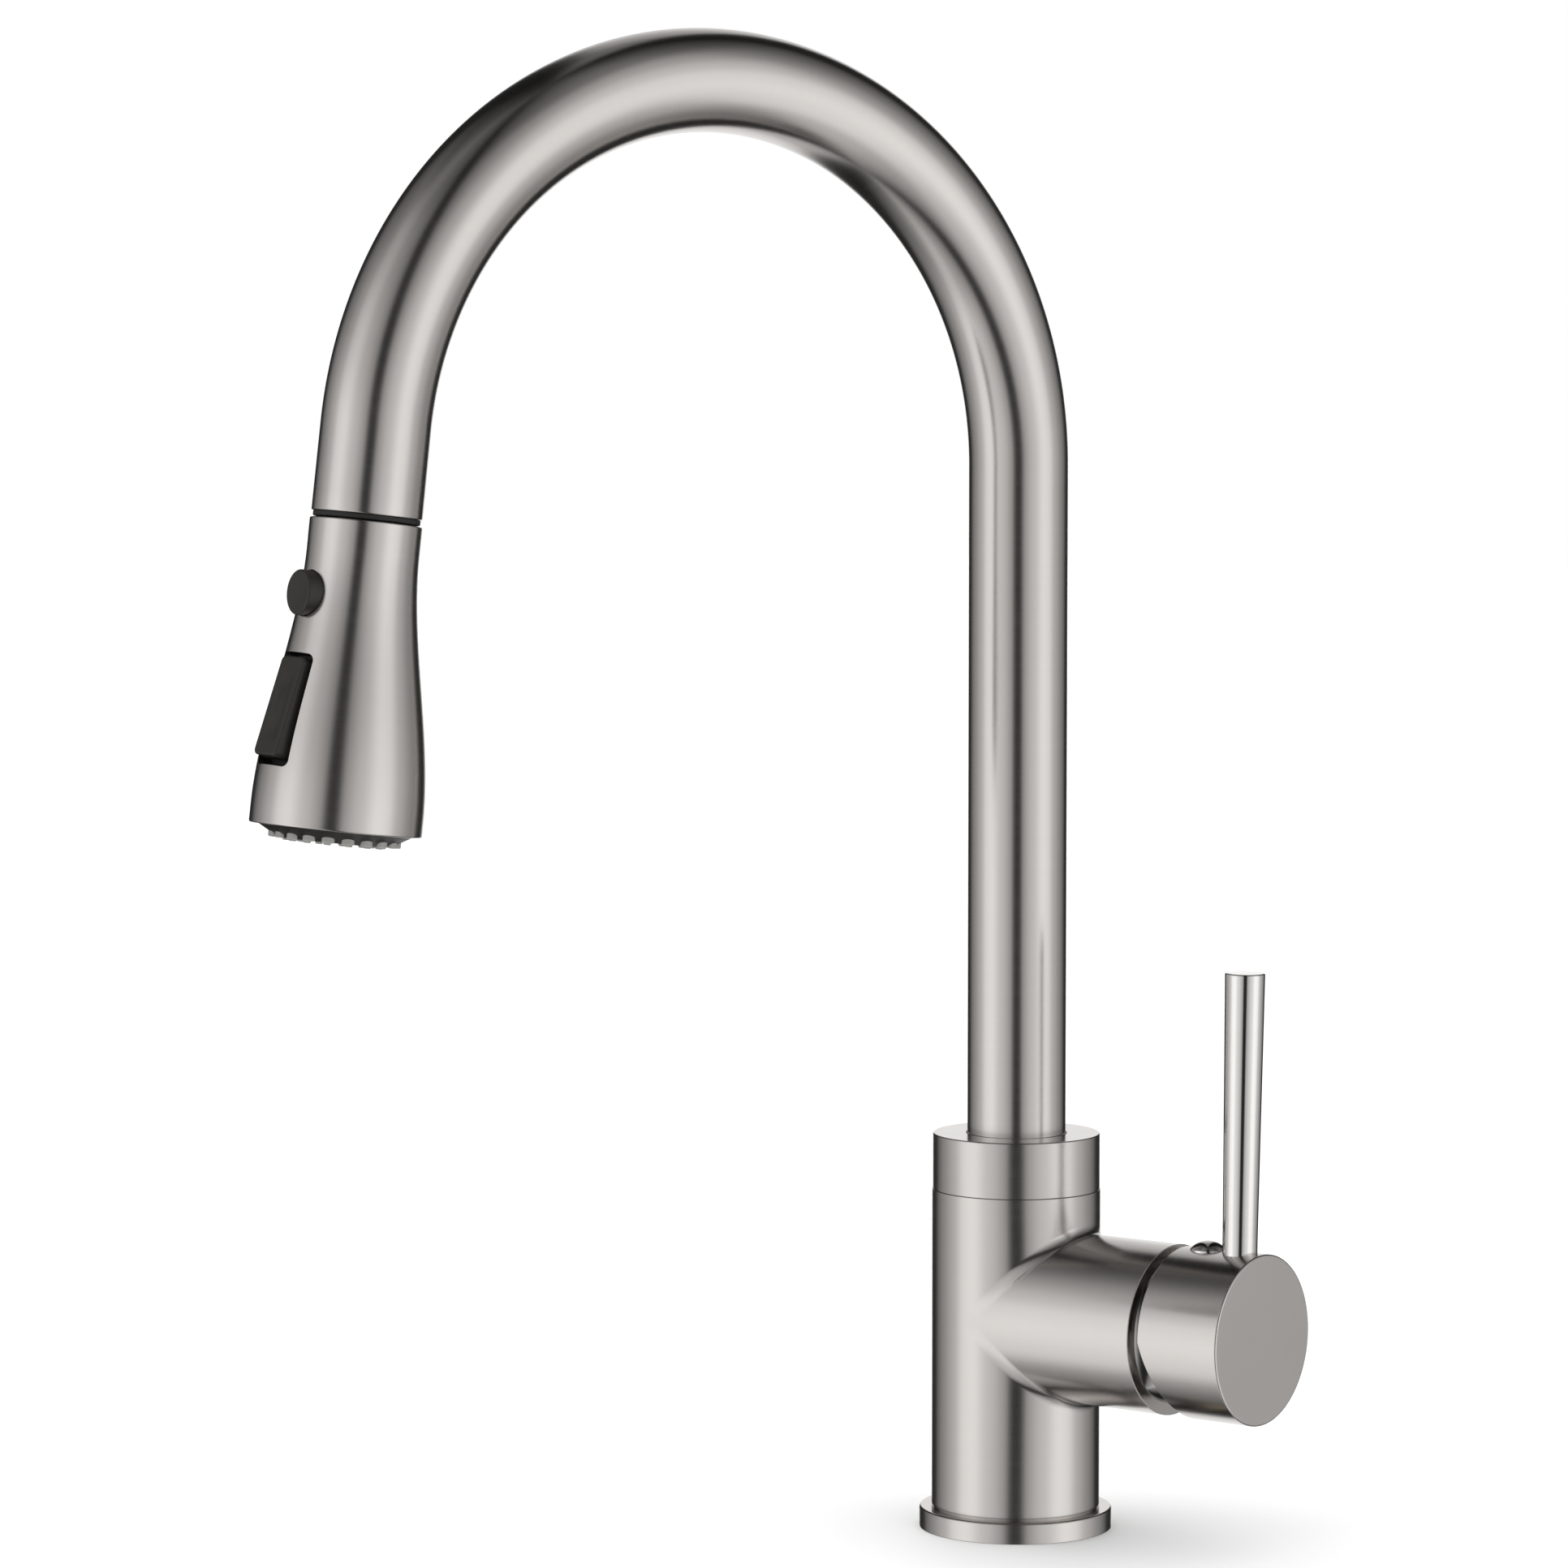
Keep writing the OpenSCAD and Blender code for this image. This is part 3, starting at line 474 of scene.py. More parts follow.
class Shader:
    """A node tree that is written as expressions."""

    def __init__(self, tree: bpy.types.NodeTree) -> None:
        """Empties a tree and takes it over."""
        tree.nodes.clear()
        self.tree = tree

    def node(
        self,
        kind: str,
        settings: Mapping[str, object] | None = None,
        inputs: Mapping[str | int, object] | None = None,
    ) -> bpy.types.Node:
        """Adds a node.

        Args:
            kind: The node's type.
            settings: Its own settings, or "stops" for a ramp's list of (place, level).
            inputs: Values or wires for its sockets.

        Returns:
            The node.
        """
        made = self.tree.nodes.new(kind)
        for name, value in (settings or {}).items():
            if name == "stops":
                self._set_stops(made.color_ramp, value)
            else:
                setattr(made, name, value)
        for key, value in (inputs or {}).items():
            if isinstance(value, Wire):
                self.tree.links.new(value.socket, made.inputs[key])
            else:
                made.inputs[key].default_value = value
        return made

    def wire(
        self,
        kind: str,
        settings: Mapping[str, object] | None = None,
        inputs: Mapping[str | int, object] | None = None,
        output: str | int = 0,
    ) -> Wire:
        """Adds a node as node() does, and returns one of its outputs."""
        return Wire(self, self.node(kind, settings, inputs).outputs[output])

    @staticmethod
    def _set_stops(ramp: bpy.types.ColorRamp, stops: Sequence[tuple[float, float]]) -> None:
        """Gives a ramp its grey levels."""
        while len(ramp.elements) < len(stops):
            ramp.elements.new(1.0)
        for element, (place, level) in zip(ramp.elements, stops):
            element.position = place
            element.color = (level, level, level, 1)

    def ramp(self, value: Wire, stops: Sequence[tuple[float, float]]) -> Wire:
        """A grey level read off a smooth ramp of (place, level) stops."""
        node = self.node("ShaderNodeValToRGB", {"stops": stops}, {0: value})
        node.color_ramp.interpolation = "EASE"
        return Wire(self, node.outputs[0])

    def grain(self) -> Wire:
        """The piece's grain, as a vector."""
        return self.wire("ShaderNodeAttribute", {"attribute_name": GRAIN}, None, "Vector")

    def coordinates(self, kind: str = "Object") -> Wire:
        """The piece's own coordinates, or another kind that Blender has."""
        return self.wire("ShaderNodeTexCoord", None, None, kind)

    def split(self, vector: Wire) -> list[Wire]:
        """The three coordinates of a vector."""
        parts = self.node("ShaderNodeSeparateXYZ", None, {0: vector})
        return [Wire(self, parts.outputs[i]) for i in range(3)]

    def scaled(self, vector: Wire, scale: Sequence[float]) -> Wire:
        """A vector times another, coordinate by coordinate."""
        return self.wire(
            "ShaderNodeVectorMath", {"operation": "MULTIPLY"}, {0: vector, 1: tuple(scale)}
        )

    def noise(self, vector: Wire, detail: float = 2.0, roughness: float = 0.5) -> Wire:
        """Fractal noise from 0 to 1 at a vector, one feature a unit."""
        inputs = {"Vector": vector, "Scale": 1.0, "Detail": detail, "Roughness": roughness}
        return self.wire("ShaderNodeTexNoise", None, inputs)

    def tint(self, factor: Wire, low: Sequence[float], high: Sequence[float]) -> Wire:
        """A colour between two, by a factor from 0 to 1."""
        inputs = {0: factor, 6: (*low, 1), 7: (*high, 1)}
        return self.wire("ShaderNodeMix", {"data_type": "RGBA"}, inputs, 2)

    def bump(self, height: Wire, depth: float) -> Wire:
        """A normal from a height, whose full range is a depth in metres."""
        inputs = {"Height": height, "Distance": depth, "Strength": 1.0}
        return self.wire("ShaderNodeBump", None, inputs, "Normal")

    def surface(self, **inputs: Wire | float | tuple[float, ...]) -> None:
        """Ends the tree in a Principled shader; underscores in names stand for spaces."""
        named = {key.replace("_", " "): value for key, value in inputs.items()}
        shader = self.wire("ShaderNodeBsdfPrincipled", None, named)
        self.node("ShaderNodeOutputMaterial", None, {"Surface": shader})


# ---- finishes ----


@dataclass(frozen=True)
class Finish:
    """A finish that pieces are given.

    Args:
        name: The material's name.
        slot: The record's slot that it belongs to.
        colour: Base colour, linear.
        roughness: Mean roughness.
    """

    name: str
    slot: Slot
    colour: tuple[float, float, float]
    roughness: float

    def material(self) -> bpy.types.Material:
        """The Blender material, made once."""
        known = bpy.data.materials.get(self.name)
        if known is not None:
            return known
        made = bpy.data.materials.new(self.name)
        made.use_nodes = True
        self.write(Shader(made.node_tree))
        return made

    def write(self, shader: Shader) -> None:
        """Writes the finish's nodes."""
        raise NotImplementedError

    def shade(self, amount: float) -> tuple[float, float, float]:
        """The base colour times an amount."""
        return tuple(c * amount for c in self.colour)


@dataclass(frozen=True)
class Brushed(Finish):
    """Metal with fine lines round its axis, read off the piece's grain.

    Args:
        line: Spacing of the finest lines, in metres.
        depth: Depth of the lines, in metres.
        spread: How far the roughness varies.
    """

    line: float = 0.00022
    depth: float = 0.0000012
    spread: float = 0.07

    def write(self, shader: Shader) -> None:
        """Lines are noise stretched round the axis; colour and roughness follow them."""
        grain = shader.grain()
        fine = shader.noise(shader.scaled(grain, (45.0, 45.0, 1 / self.line)), 2.0, 0.6)
        broad = shader.noise(shader.scaled(grain, (20.0, 20.0, 0.12 / self.line)), 2.0)
        patch = shader.noise(shader.scaled(grain, (28.0, 28.0, 22.0)), 3.0, 0.6)
        lines = 0.65 * fine + 0.35 * broad
        shader.surface(
            Base_Color=shader.tint(lines, self.shade(0.96), self.shade(1.04)),
            Metallic=1.0,
            Roughness=lines * self.spread
            + patch * 0.04
            + (self.roughness - 0.5 * self.spread - 0.02),
            Normal=shader.bump(lines, self.depth),
        )


@dataclass(frozen=True)
class Machined(Finish):
    """Turned, cast or drawn metal with a faint mottle and small scratches.

    Args:
        grain_size: Size of the mottle, in metres.
        metallic: 1 for bare metal.
    """

    grain_size: float = 0.0015
    metallic: float = 1.0

    def write(self, shader: Shader) -> None:
        """Mottle and scratches are noises of the piece's own coordinates."""
        place = shader.coordinates()
        size = 1 / self.grain_size
        mottle = shader.noise(shader.scaled(place, (size, size, size)), 3.0)
        scratch = shader.noise(shader.scaled(place, (400.0, 400.0, 5200.0)), 2.0)
        shader.surface(
            Base_Color=shader.tint(mottle, self.shade(0.9), self.shade(1.06)),
            Metallic=self.metallic,
            Roughness=mottle * 0.1 + scratch * 0.08 + (self.roughness - 0.09),
            Normal=shader.bump(mottle * 0.7 + scratch * 0.3, 0.000004),
        )


@dataclass(frozen=True)
class Moulded(Finish):
    """Moulded plastic, rubber, silicone or ceramic with a fine skin texture.

    Args:
        skin: Size of the skin's pits, in metres.
        depth: Depth of the skin's pits, in metres.
        coat: Weight of a glossy coat.
        glow: Subsurface weight, for pale translucent plastics.
    """

    skin: float = 0.0003
    depth: float = 0.000012
    coat: float = 0.0
    glow: float = 0.0

    def write(self, shader: Shader) -> None:
        """Pits are a fine noise, and flow marks a broad one that shifts the roughness."""
        place = shader.coordinates()
        fine = 1 / self.skin
        pits = shader.noise(shader.scaled(place, (fine, fine, fine)), 2.0, 0.6)
        flow = shader.noise(shader.scaled(place, (70.0, 70.0, 40.0)), 3.0, 0.6)
        shader.surface(
            Base_Color=shader.tint(flow, self.shade(0.88), self.shade(1.12)),
            Roughness=flow * 0.12 + pits * 0.06 + (self.roughness - 0.09),
            Coat_Weight=self.coat,
            Subsurface_Weight=self.glow,
            Subsurface_Scale=0.002,
            Normal=shader.bump(pits, self.depth),
        )


@dataclass(frozen=True)
class Braid(Finish):
    """Braided sleeve of a hose, read off the piece's grain.

    Args:
        strands: Strands that run each way round.
        pitch: Length of one turn of a strand, in metres.
    """

    strands: int = 14
    pitch: float = 0.030

    def write(self, shader: Shader) -> None:
        """Two families of helical strands; where they cross, one lies over the other. The base
        colour is darkened where the strands dip, as painted shade between them.
        """
        x, y, z = shader.split(shader.grain())
        turn = y.apply("ARCTAN2", x) * float(self.strands)
        climb = z * (2 * math.pi * self.strands / self.pitch)
        right = (turn + climb).apply("SINE").apply("ABSOLUTE")
        left = (turn - climb).apply("SINE").apply("ABSOLUTE")
        height = right.apply("MAXIMUM", left)
        shader.surface(
            # Painted shade: the base colour falls to a quarter of the braid's colour where the
            # strands dip.
            Base_Color=shader.tint(height, self.shade(0.25), self.shade(1.1)),
            Roughness=self.roughness + 0.15 - height * 0.15,
            Normal=shader.bump(height, 0.0001),
        )


NICKEL = Brushed("brushed_nickel_finish", Slot.BRUSHED, (0.64, 0.611, 0.590), 0.215)
BRIGHT = Brushed(
    "polished_nickel_finish", Slot.POLISHED, (0.80, 0.785, 0.765), 0.12, 0.0004, 0.0000003, 0.03
)
FACE = Brushed(
    "satin_nickel_finish", Slot.BRUSHED, (0.78, 0.745, 0.72), 0.36, 0.0003, 0.0000012, 0.06
)
STAINLESS = Machined("stainless_finish", Slot.STEEL, (0.58, 0.57, 0.56), 0.32)
YELLOW_BRASS = Machined("brass_finish", Slot.BRASS, (0.72, 0.52, 0.25), 0.30)
BLACK_PLASTIC = Moulded("black_plastic_finish", Slot.BLACK, (0.016, 0.0145, 0.013), 0.46)
BLACK_RUBBER = Moulded("black_rubber_finish", Slot.RUBBER, (0.014, 0.013, 0.0125), 0.62, 0.0005)
WHITE_ACETAL = Moulded(
    "acetal_finish", Slot.ACETAL, (0.78, 0.76, 0.70), 0.42, 0.0004, 0.000006, 0.0, 0.1
)
WHITE_CERAMIC = Moulded(
    "ceramic_finish", Slot.CERAMIC, (0.80, 0.77, 0.70), 0.22, 0.0002, 0.000001, 0.4
)
GREY_SILICONE = Moulded("silicone_finish", Slot.SILICONE, (0.36, 0.355, 0.34), 0.50, 0.0004)
GREY_BRAID = Braid("hose_braid_finish", Slot.BRAID, (0.16, 0.16, 0.165), 0.45)


# ---- putting pieces into the scene ----


class Bench:
    """Turns shapes into pieces of the scene and keeps the frame's facts at hand."""

    def __init__(self, frame: dict) -> None:
        """Keeps the loaded frame."""
        self.frame = frame
        self.joints = {j["name"]: j for j in frame["joints"]}
        self.made = 0

    def anchor(self, joint: str) -> np.ndarray:
        """A joint's place in the frame."""
        return np.array(self.joints[joint]["pos_m"], float)

    def direction(self, joint: str) -> np.ndarray:
        """A joint's axis in the frame."""
        return np.array(self.joints[joint]["axis"], float)

    def barrel(self) -> Axes:
        """Axes of the side barrel: z along it, x up, from the column's middle."""
        origin = self.anchor("temperature_turn") * (0, 1, 1)
        return Axes.along(origin, self.direction("temperature_turn"), (0, 0, 1))

    def span(self, node: str, axes: Axes = WORLD) -> tuple[np.ndarray, np.ndarray]:
        """Lowest and highest coordinates of a CAD node in some axes.

        Args:
            node: The node's name.
            axes: The axes to measure in.

        Returns:
            The lowest and the highest corner.
        """
        points = axes.local(vectors_of(self.frame["nodes"][node].data.vertices, "co"))
        return points.min(0), points.max(0)

    def piece(
        self,
        name: str,
        shape: Shape,
        body: str,
        finish: Finish,
        nodes: Sequence[str] = (),
        axes: Axes = WORLD,
    ) -> bpy.types.Object:
        """Adds a piece.

        Args:
            name: The piece's name.
            shape: Its surface, in the axes given.
            body: The body that it rides on.
            finish: Its finish.
            nodes: The CAD nodes that it stands for.
            axes: Where the shape is placed.

        Returns:
            The new object.
        """
        mesh = new_mesh(name, axes.place(shape.points), shape.faces)
        made = new_object(name, mesh)
        self.set_grain(mesh, shape.points if shape.grain is None else shape.grain)
        mesh.shade_smooth()
        mesh.set_sharp_from_angle(angle=SHARP_EDGE)
        mesh.materials.append(finish.material())
        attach(made, body)
        if nodes:
            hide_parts(*nodes)
        self.made += 1
        log.info("%s: %d faces on %s", name, len(shape.faces), body)
        return made

    @staticmethod
    def set_grain(mesh: bpy.types.Mesh, grain: np.ndarray) -> None:
        """Stores each point's place on the straightened piece."""
        values = mesh.attributes.new(GRAIN, "FLOAT_VECTOR", "POINT")
        values.data.foreach_set("vector", grain.astype(np.float32).ravel())

    def dress(self, finish: Finish, *nodes: str) -> None:
        """Gives CAD nodes a finish."""
        for node in nodes:
            self.frame["nodes"][node].data.materials.clear()
            self.frame["nodes"][node].data.materials.append(finish.material())
            log.info("%s: %s", node, finish.name)

    def carve(self, piece: bpy.types.Object, cutters: Sequence[Shape], axes: Axes) -> None:
        """Cuts shapes out of a piece and gives its points their grain again.

        Args:
            piece: The piece to cut.
            cutters: Closed shapes, in the axes given.
            axes: Where the cutters are placed, and the piece's own straight axes.
        """
        tools = []
        for number, cutter in enumerate(cutters):
            name = f"cutter_{number}"
            tool = new_object(name, new_mesh(name, axes.place(cutter.points), cutter.faces))
            cut = piece.modifiers.new(name, "BOOLEAN")
            cut.operation, cut.solver, cut.object = "DIFFERENCE", "EXACT", tool
            tools.append(tool)
        depsgraph = bpy.context.evaluated_depsgraph_get()
        mesh = bpy.data.meshes.new_from_object(piece.evaluated_get(depsgraph))
        piece.modifiers.clear()
        piece.data = mesh
        for tool in tools:
            bpy.data.objects.remove(tool)
        old = mesh.attributes.get(GRAIN)
        if old is not None:
            mesh.attributes.remove(old)
        self.set_grain(mesh, axes.local(vectors_of(mesh.vertices, "co")))
        mesh.shade_smooth()
        mesh.set_sharp_from_angle(angle=SHARP_EDGE)


# ---- sub-assemblies ----


@dataclass
class Casting:
    """Flange, column with its side barrel, and the collar over the spout's foot."""

    radius: float = 24 * MM
    fillet: float = 3 * MM  # radius of the inside corner between column and barrel
    groove: float = 0.6 * MM  # shadow groove above the flange
    passage: float = 6.2 * MM
    bush_bore: float = 17.1 * MM
    collar_bore: float = 14.25 * MM
    half_steps: int = 96  # steps round half of the column

    def build(self, bench: Bench) -> None:
        """Builds the flange, the body and the collar."""
        self._flange(bench)
        self._body(bench)
        self._collar(bench)
        bench.dress(BLACK_RUBBER, "base_gasket")
        bench.dress(WHITE_ACETAL, "swivel_bush", "thrust_washers")

    def _flange(self, bench: Bench) -> None:
        """A washer-shaped plate with a soft upper edge and a groove for its gasket."""
        low, high = bench.span("base_flange")
        bore = bench.span("threaded_shank")[1][0] + 0.1 * MM
        groove, deep = bore + 4.9 * MM, 1.2 * MM
        profile = outline(
            [
                (bore, deep, 0),
                (groove, deep, 0),
                (groove, low[2], 0.1 * MM),
                (high[0], low[2], 0.2 * MM),
                (high[0], high[2], 0.7 * MM),
                (bore, high[2], 0.1 * MM),
            ],
            6,
        )
        bench.piece("flange", turned(profile, 192), "base", NICKEL, ["base_flange"])

    def _body(self, bench: Bench) -> None:
        """Column and barrel of one radius R, with a small fillet in each inside corner.

        At each y = R sin a the section is c = R cos a wide. Its outline runs down the column at
        x = c, round an arc of the fillet's radius, and out along the barrel at height c.
        """
        low, high = bench.span("body")
        barrel = bench.anchor("temperature_turn")[2]
        angle = np.linspace(-math.pi / 2, math.pi / 2, self.half_steps + 1)
        half, side = self.radius * np.cos(angle), self.radius * np.sin(angle)
        turn = np.linspace(0, math.pi / 2, 17)
        bend = half[:, None] + self.fillet
        top_edge, end_edge = 0.3 * MM, 0.5 * MM
        quarter = {}
        for sign, column_end in ((1, high[2] - top_edge), (-1, low[2] + self.groove + top_edge)):
            x = np.concatenate(
                [
                    half[:, None],
                    bend - self.fillet * np.cos(turn),
                    np.full((len(angle), 1), high[0] - end_edge),
                ],
                1,
            )
            z = np.concatenate(
                [
                    np.full((len(angle), 1), sign * (column_end - barrel)),
                    bend - self.fillet * np.sin(turn),
                    half[:, None],
                ],
                1,
            )
            y = np.broadcast_to(side[:, None], x.shape)
            quarter[sign] = np.stack([x, y, barrel + sign * z], -1)
        parts = [grid(quarter[1]), grid(quarter[-1][::-1])]
        heights = [high[2] - top_edge, barrel + self.fillet, barrel - self.fillet]
        heights.append(low[2] + self.groove + top_edge)
        back = [np.stack([-half, side, np.full_like(side, z)], 1) for z in heights]
        parts.append(grid(np.stack(back)))
        for end, flip in ((0, False), (-1, True)):
            ring = np.concatenate([quarter[1][end, 1:-1], quarter[-1][end, 1:-1][::-1][1:]])
            face = tuple(range(len(ring)))
            parts.append(Shape(ring, [face[::-1] if flip else face]))
        parts.append(self._column_ways(bench, low, high, top_edge))
        parts.append(self._chamber(bench, high, end_edge))
        shape = self._one_way_out(joined(parts).welded(1e-6))
        made = bench.piece("column_and_barrel", shape, "base", NICKEL, ["body"])
        self._barrel_grain(made.data, barrel)

    @staticmethod
    def _one_way_out(shape: Shape) -> Shape:
        """Turns the faces of a closed shape the same way, and then outwards."""
        mesh = new_mesh("turning", shape.points, shape.faces)
        probe = new_object("turning", mesh)
        bpy.context.view_layer.objects.active = probe
        probe.select_set(True)
        bpy.ops.object.mode_set(mode="EDIT")
        bpy.ops.mesh.select_all(action="SELECT")
        bpy.ops.mesh.normals_make_consistent(inside=False)
        bpy.ops.object.mode_set(mode="OBJECT")
        faces = [tuple(p.vertices) for p in mesh.polygons]
        bpy.data.objects.remove(probe)
        bpy.data.meshes.remove(mesh)
        return Shape(shape.points, faces)

    def _barrel_grain(self, mesh: bpy.types.Mesh, barrel: float) -> None:
        """Turns the grain to run round the barrel where the body is barrel, not column."""
        points = vectors_of(mesh.vertices, "co")
        lean = points[:, 0] - np.abs(points[:, 2] - barrel)
        blend = 2 * MM
        share = smooth_step((lean + blend) / (2 * blend))[:, None]
        turned_grain = np.stack([points[:, 1], points[:, 2] - barrel, points[:, 0]], 1)
        grain = points * (1 - share) + turned_grain * share
        values = mesh.attributes[GRAIN]
        values.data.foreach_set("vector", grain.astype(np.float32).ravel())

    def _column_ways(
        self, bench: Bench, low: np.ndarray, high: np.ndarray, edge: float
    ) -> Shape:
        """The column's ends and its way for the hose, from the groove up to the collar."""
        shank = bench.span("threaded_shank")[1]
        bush = bench.span("swivel_bush")[0][2]
        thread = bench.span("retaining_collar")[0][2] - 0.05 * MM
        socket = shank[0] + 0.1 * MM
        waist = self.radius - self.groove
        profile = outline(
            [
                (self.radius, low[2] + self.groove + edge, 0),
                (self.radius, low[2] + self.groove, 0.2 * MM),
                (waist, low[2] + self.groove, 0),
                (waist, low[2], 0),
                (socket, low[2], 0.3 * MM),
                (socket, shank[2] + 0.1 * MM, 0),
                (self.passage, shank[2] + 0.1 * MM, 0.3 * MM),
                (self.passage, bush, 0.3 * MM),
                (self.bush_bore, bush, 0),
                (self.bush_bore, thread, 0),
                (self.radius - 3.9 * MM, thread, 0),
                (self.radius - 3.9 * MM, high[2], 0.2 * MM),
                (self.radius, high[2], 0.25 * MM),
                (self.radius, high[2] - edge, 0),
            ],
            4,
        )
        return turned(profile, 2 * self.half_steps, loop=False)

    def _chamber(self, bench: Bench, high: np.ndarray, edge: float) -> Shape:
        """The barrel's end and the valve chamber behind it."""
        seat = bench.span("cartridge_housing")[0][0] - 0.2 * MM
        wall = bench.span("cartridge_housing")[1][1] + 0.1 * MM
        step = bench.span("cartridge_nut")[0][0] - 1.5 * MM
        mouth = wall + 1.5 * MM
        profile = outline(
            [
                (self.radius, high[0] - edge, 0),
                (self.radius, high[0], 0.4 * MM),
                (mouth, high[0], 0.3 * MM),
                (mouth, step, 0),
                (wall, step, 0),
                (wall, seat, 0.4 * MM),
                (0, seat, 0),
            ],
            4,
        )
        return turned(profile, 2 * self.half_steps, loop=False).warped(bench.barrel().place)

    def _collar(self, bench: Bench) -> None:
        """A threaded collar: its spigot goes into the column and its top holds the spout."""
        low, high = bench.span("retaining_collar")
        joint = bench.span("body")[1][2]
        spigot = self.radius - 4.05 * MM
        profile = outline(
            [
                (self.collar_bore, low[2], 0.2 * MM),
                (spigot, low[2], 0.2 * MM),
                (spigot, joint, 0),
                (high[0], joint, 0.25 * MM),
                (high[0], high[2], 0.45 * MM),
                (self.collar_bore, high[2], 0.35 * MM),
            ],
            6,
        )
        bench.piece("collar", turned(profile, 192), "base", NICKEL, ["retaining_collar"])


@dataclass
class Valve:
    """Ceramic cartridge in the barrel and the domed cover over it."""

    cover_wall: float = 1.2 * MM

    def build(self, bench: Bench) -> None:
        """Builds the domed cover and dresses the cartridge."""
        pivot = bench.anchor("temperature_turn")
        axes = Axes.along(pivot, bench.direction("temperature_turn"), (0, 0, 1))
        low, high = bench.span("dome_cover", axes)
        end = bench.span("body", axes)[1][2]
        hole = 16 * MM
        ball = math.hypot(hole, high[2])
        start, stop = math.acos(end / ball), math.asin(hole / ball)
        zone = np.linspace(start, stop, 40)
        inner = ball - self.cover_wall
        inside = np.linspace(math.asin(min(1, hole / inner)), math.acos(end / inner), 24)
        sleeve, lip = 19.1 * MM, 17.5 * MM
        profile = np.concatenate(
            [
                np.stack([ball * np.sin(zone), ball * np.cos(zone)], 1),
                np.stack([inner * np.sin(inside), inner * np.cos(inside)], 1),
                [(lip, end), (lip, low[2]), (sleeve, low[2]), (sleeve, end)],
            ]
        )
        bench.piece("domed_cover", turned(profile, 160), "base", BRIGHT, ["dome_cover"], axes)
        bench.dress(WHITE_ACETAL, "cartridge_housing", "cartridge_rotor", "disc_carrier")
        bench.dress(WHITE_CERAMIC, "fixed_disc", "moving_disc")
        bench.dress(BLACK_RUBBER, "cartridge_seals")
        bench.dress(YELLOW_BRASS, "cartridge_nut")
        bench.dress(STAINLESS, "stem_pin", "cartridge_stem", "set_screw")


@dataclass
class Handle:
    """Drum-shaped cap with its lever and the plug over its set screw."""

    relief: float = math.radians(17)
    cavity_depth: float = 11 * MM
    cavity_radius: float = 20 * MM
    boss_radius: float = 7.5 * MM
    boss_gap: float = 3.7 * MM
    lean: float = math.radians(0.85)
    foot_radius: float = 4.9 * MM
    tip_radius: float = 5.6 * MM
    plug_radius: float = 5 * MM
    plug_rise: float = 2.4 * MM

    def build(self, bench: Bench) -> None:
        """Builds the cap, the lever and the plug."""
        axes = bench.barrel()
        self._cap(bench, axes)
        drum = bench.span("handle_cap", axes)[1][0]
        self._lever(bench, axes.origin, drum)
        self._plug(bench, axes.origin, drum)

    def _cap(self, bench: Bench, axes: Axes) -> None:
        """A drum, hollow at the back around a boss, whose lower half is cut back obliquely."""
        low, high = bench.span("handle_cap", axes)
        rear, front, radius = low[2], high[2], high[0]
        floor = rear + self.cavity_depth
        profile = outline(
            [
                (0, rear + self.boss_gap, 0),
                (self.boss_radius, rear + self.boss_gap, 0.3 * MM),
                (self.boss_radius, floor, 0.4 * MM),
                (self.cavity_radius, floor, 0.8 * MM),
                (self.cavity_radius, rear, 0.3 * MM),
                (radius, rear, 0.4 * MM),
                (radius, front, 0.55 * MM),
                (0, front, 0),
            ],
            6,
        )

        def cut_back(points: np.ndarray) -> np.ndarray:
            """Moves points forward below the axis, most at the rear and not at the front."""
            share = (front - points[:, 2]) / (front - rear)
            shift = np.maximum(0, -points[:, 0]) * math.tan(self.relief) * share
            return points + shift[:, None] * (0, 0, 1)

        shape = turned(profile, 192).warped(cut_back)
        made = bench.piece("handle_drum", shape, "handle", NICKEL, ["handle_cap"], axes)
        made.data.materials.append(FACE.material())
        centres = vectors_of(made.data.polygons, "center")
        on_face = (centres[:, 0] > axes.origin[0] + front - 0.01 * MM).astype(np.int32)
        made.data.polygons.foreach_set("material_index", on_face)

    def _lever(self, bench: Bench, pivot: np.ndarray, drum: float) -> None:
        """A rod whose foot follows the drum: height z = sqrt(drum^2 - y^2) at its lowest row."""
        low, high = bench.span("lever")
        foot = pivot + (low[0] + self.foot_radius, 0, 0)
        axes = Axes.along(foot, (math.sin(self.lean), 0, math.cos(self.lean)), (1, 0, 0))
        top = axes.local(high[None] * (1, 0, 1))[0, 2]
        straight = 5 * MM
        profile = outline(
            [
                (0, 0, 0),
                (self.foot_radius, 0, 0),
                (self.foot_radius, drum + straight, 0),
                (self.tip_radius, top, 0.5 * MM),
                (0, top, 0),
            ],
            6,
        )

        def to_drum(points: np.ndarray) -> np.ndarray:
            """Lifts the foot's lowest rows onto the drum."""
            made = points.copy()
            lowest = points[:, 2] < 0.5 * drum
            made[lowest, 2] = np.sqrt(drum**2 - points[lowest, 1] ** 2) - 0.02 * MM
            return made

        shape = turned(profile, 96).warped(to_drum)
        bench.piece("lever_rod", shape, "handle", BRIGHT, ["lever"], axes)

    def _plug(self, bench: Bench, pivot: np.ndarray, drum: float) -> None:
        """A low dome, a zone of a sphere, with its edge let down onto the drum."""
        low, high = bench.span("indicator_plug")
        place = pivot + ((low[0] + high[0]) / 2, 0, drum)
        ball = (self.plug_radius**2 + self.plug_rise**2) / (2 * self.plug_rise)
        angle = np.linspace(math.asin(self.plug_radius / ball), 0, 28)
        cap = np.stack([ball * np.sin(angle), ball * np.cos(angle) + self.plug_rise - ball], 1)
        skirt = [(0, -1.2 * MM), (self.plug_radius, -1.2 * MM)]
        shape = turned(np.concatenate([skirt, cap]), 96)
        axes = Axes.along(place, (0, 0, 1), (1, 0, 0))
        bench.piece("dome_plug", shape, "handle", BRIGHT, ["indicator_plug"], axes)


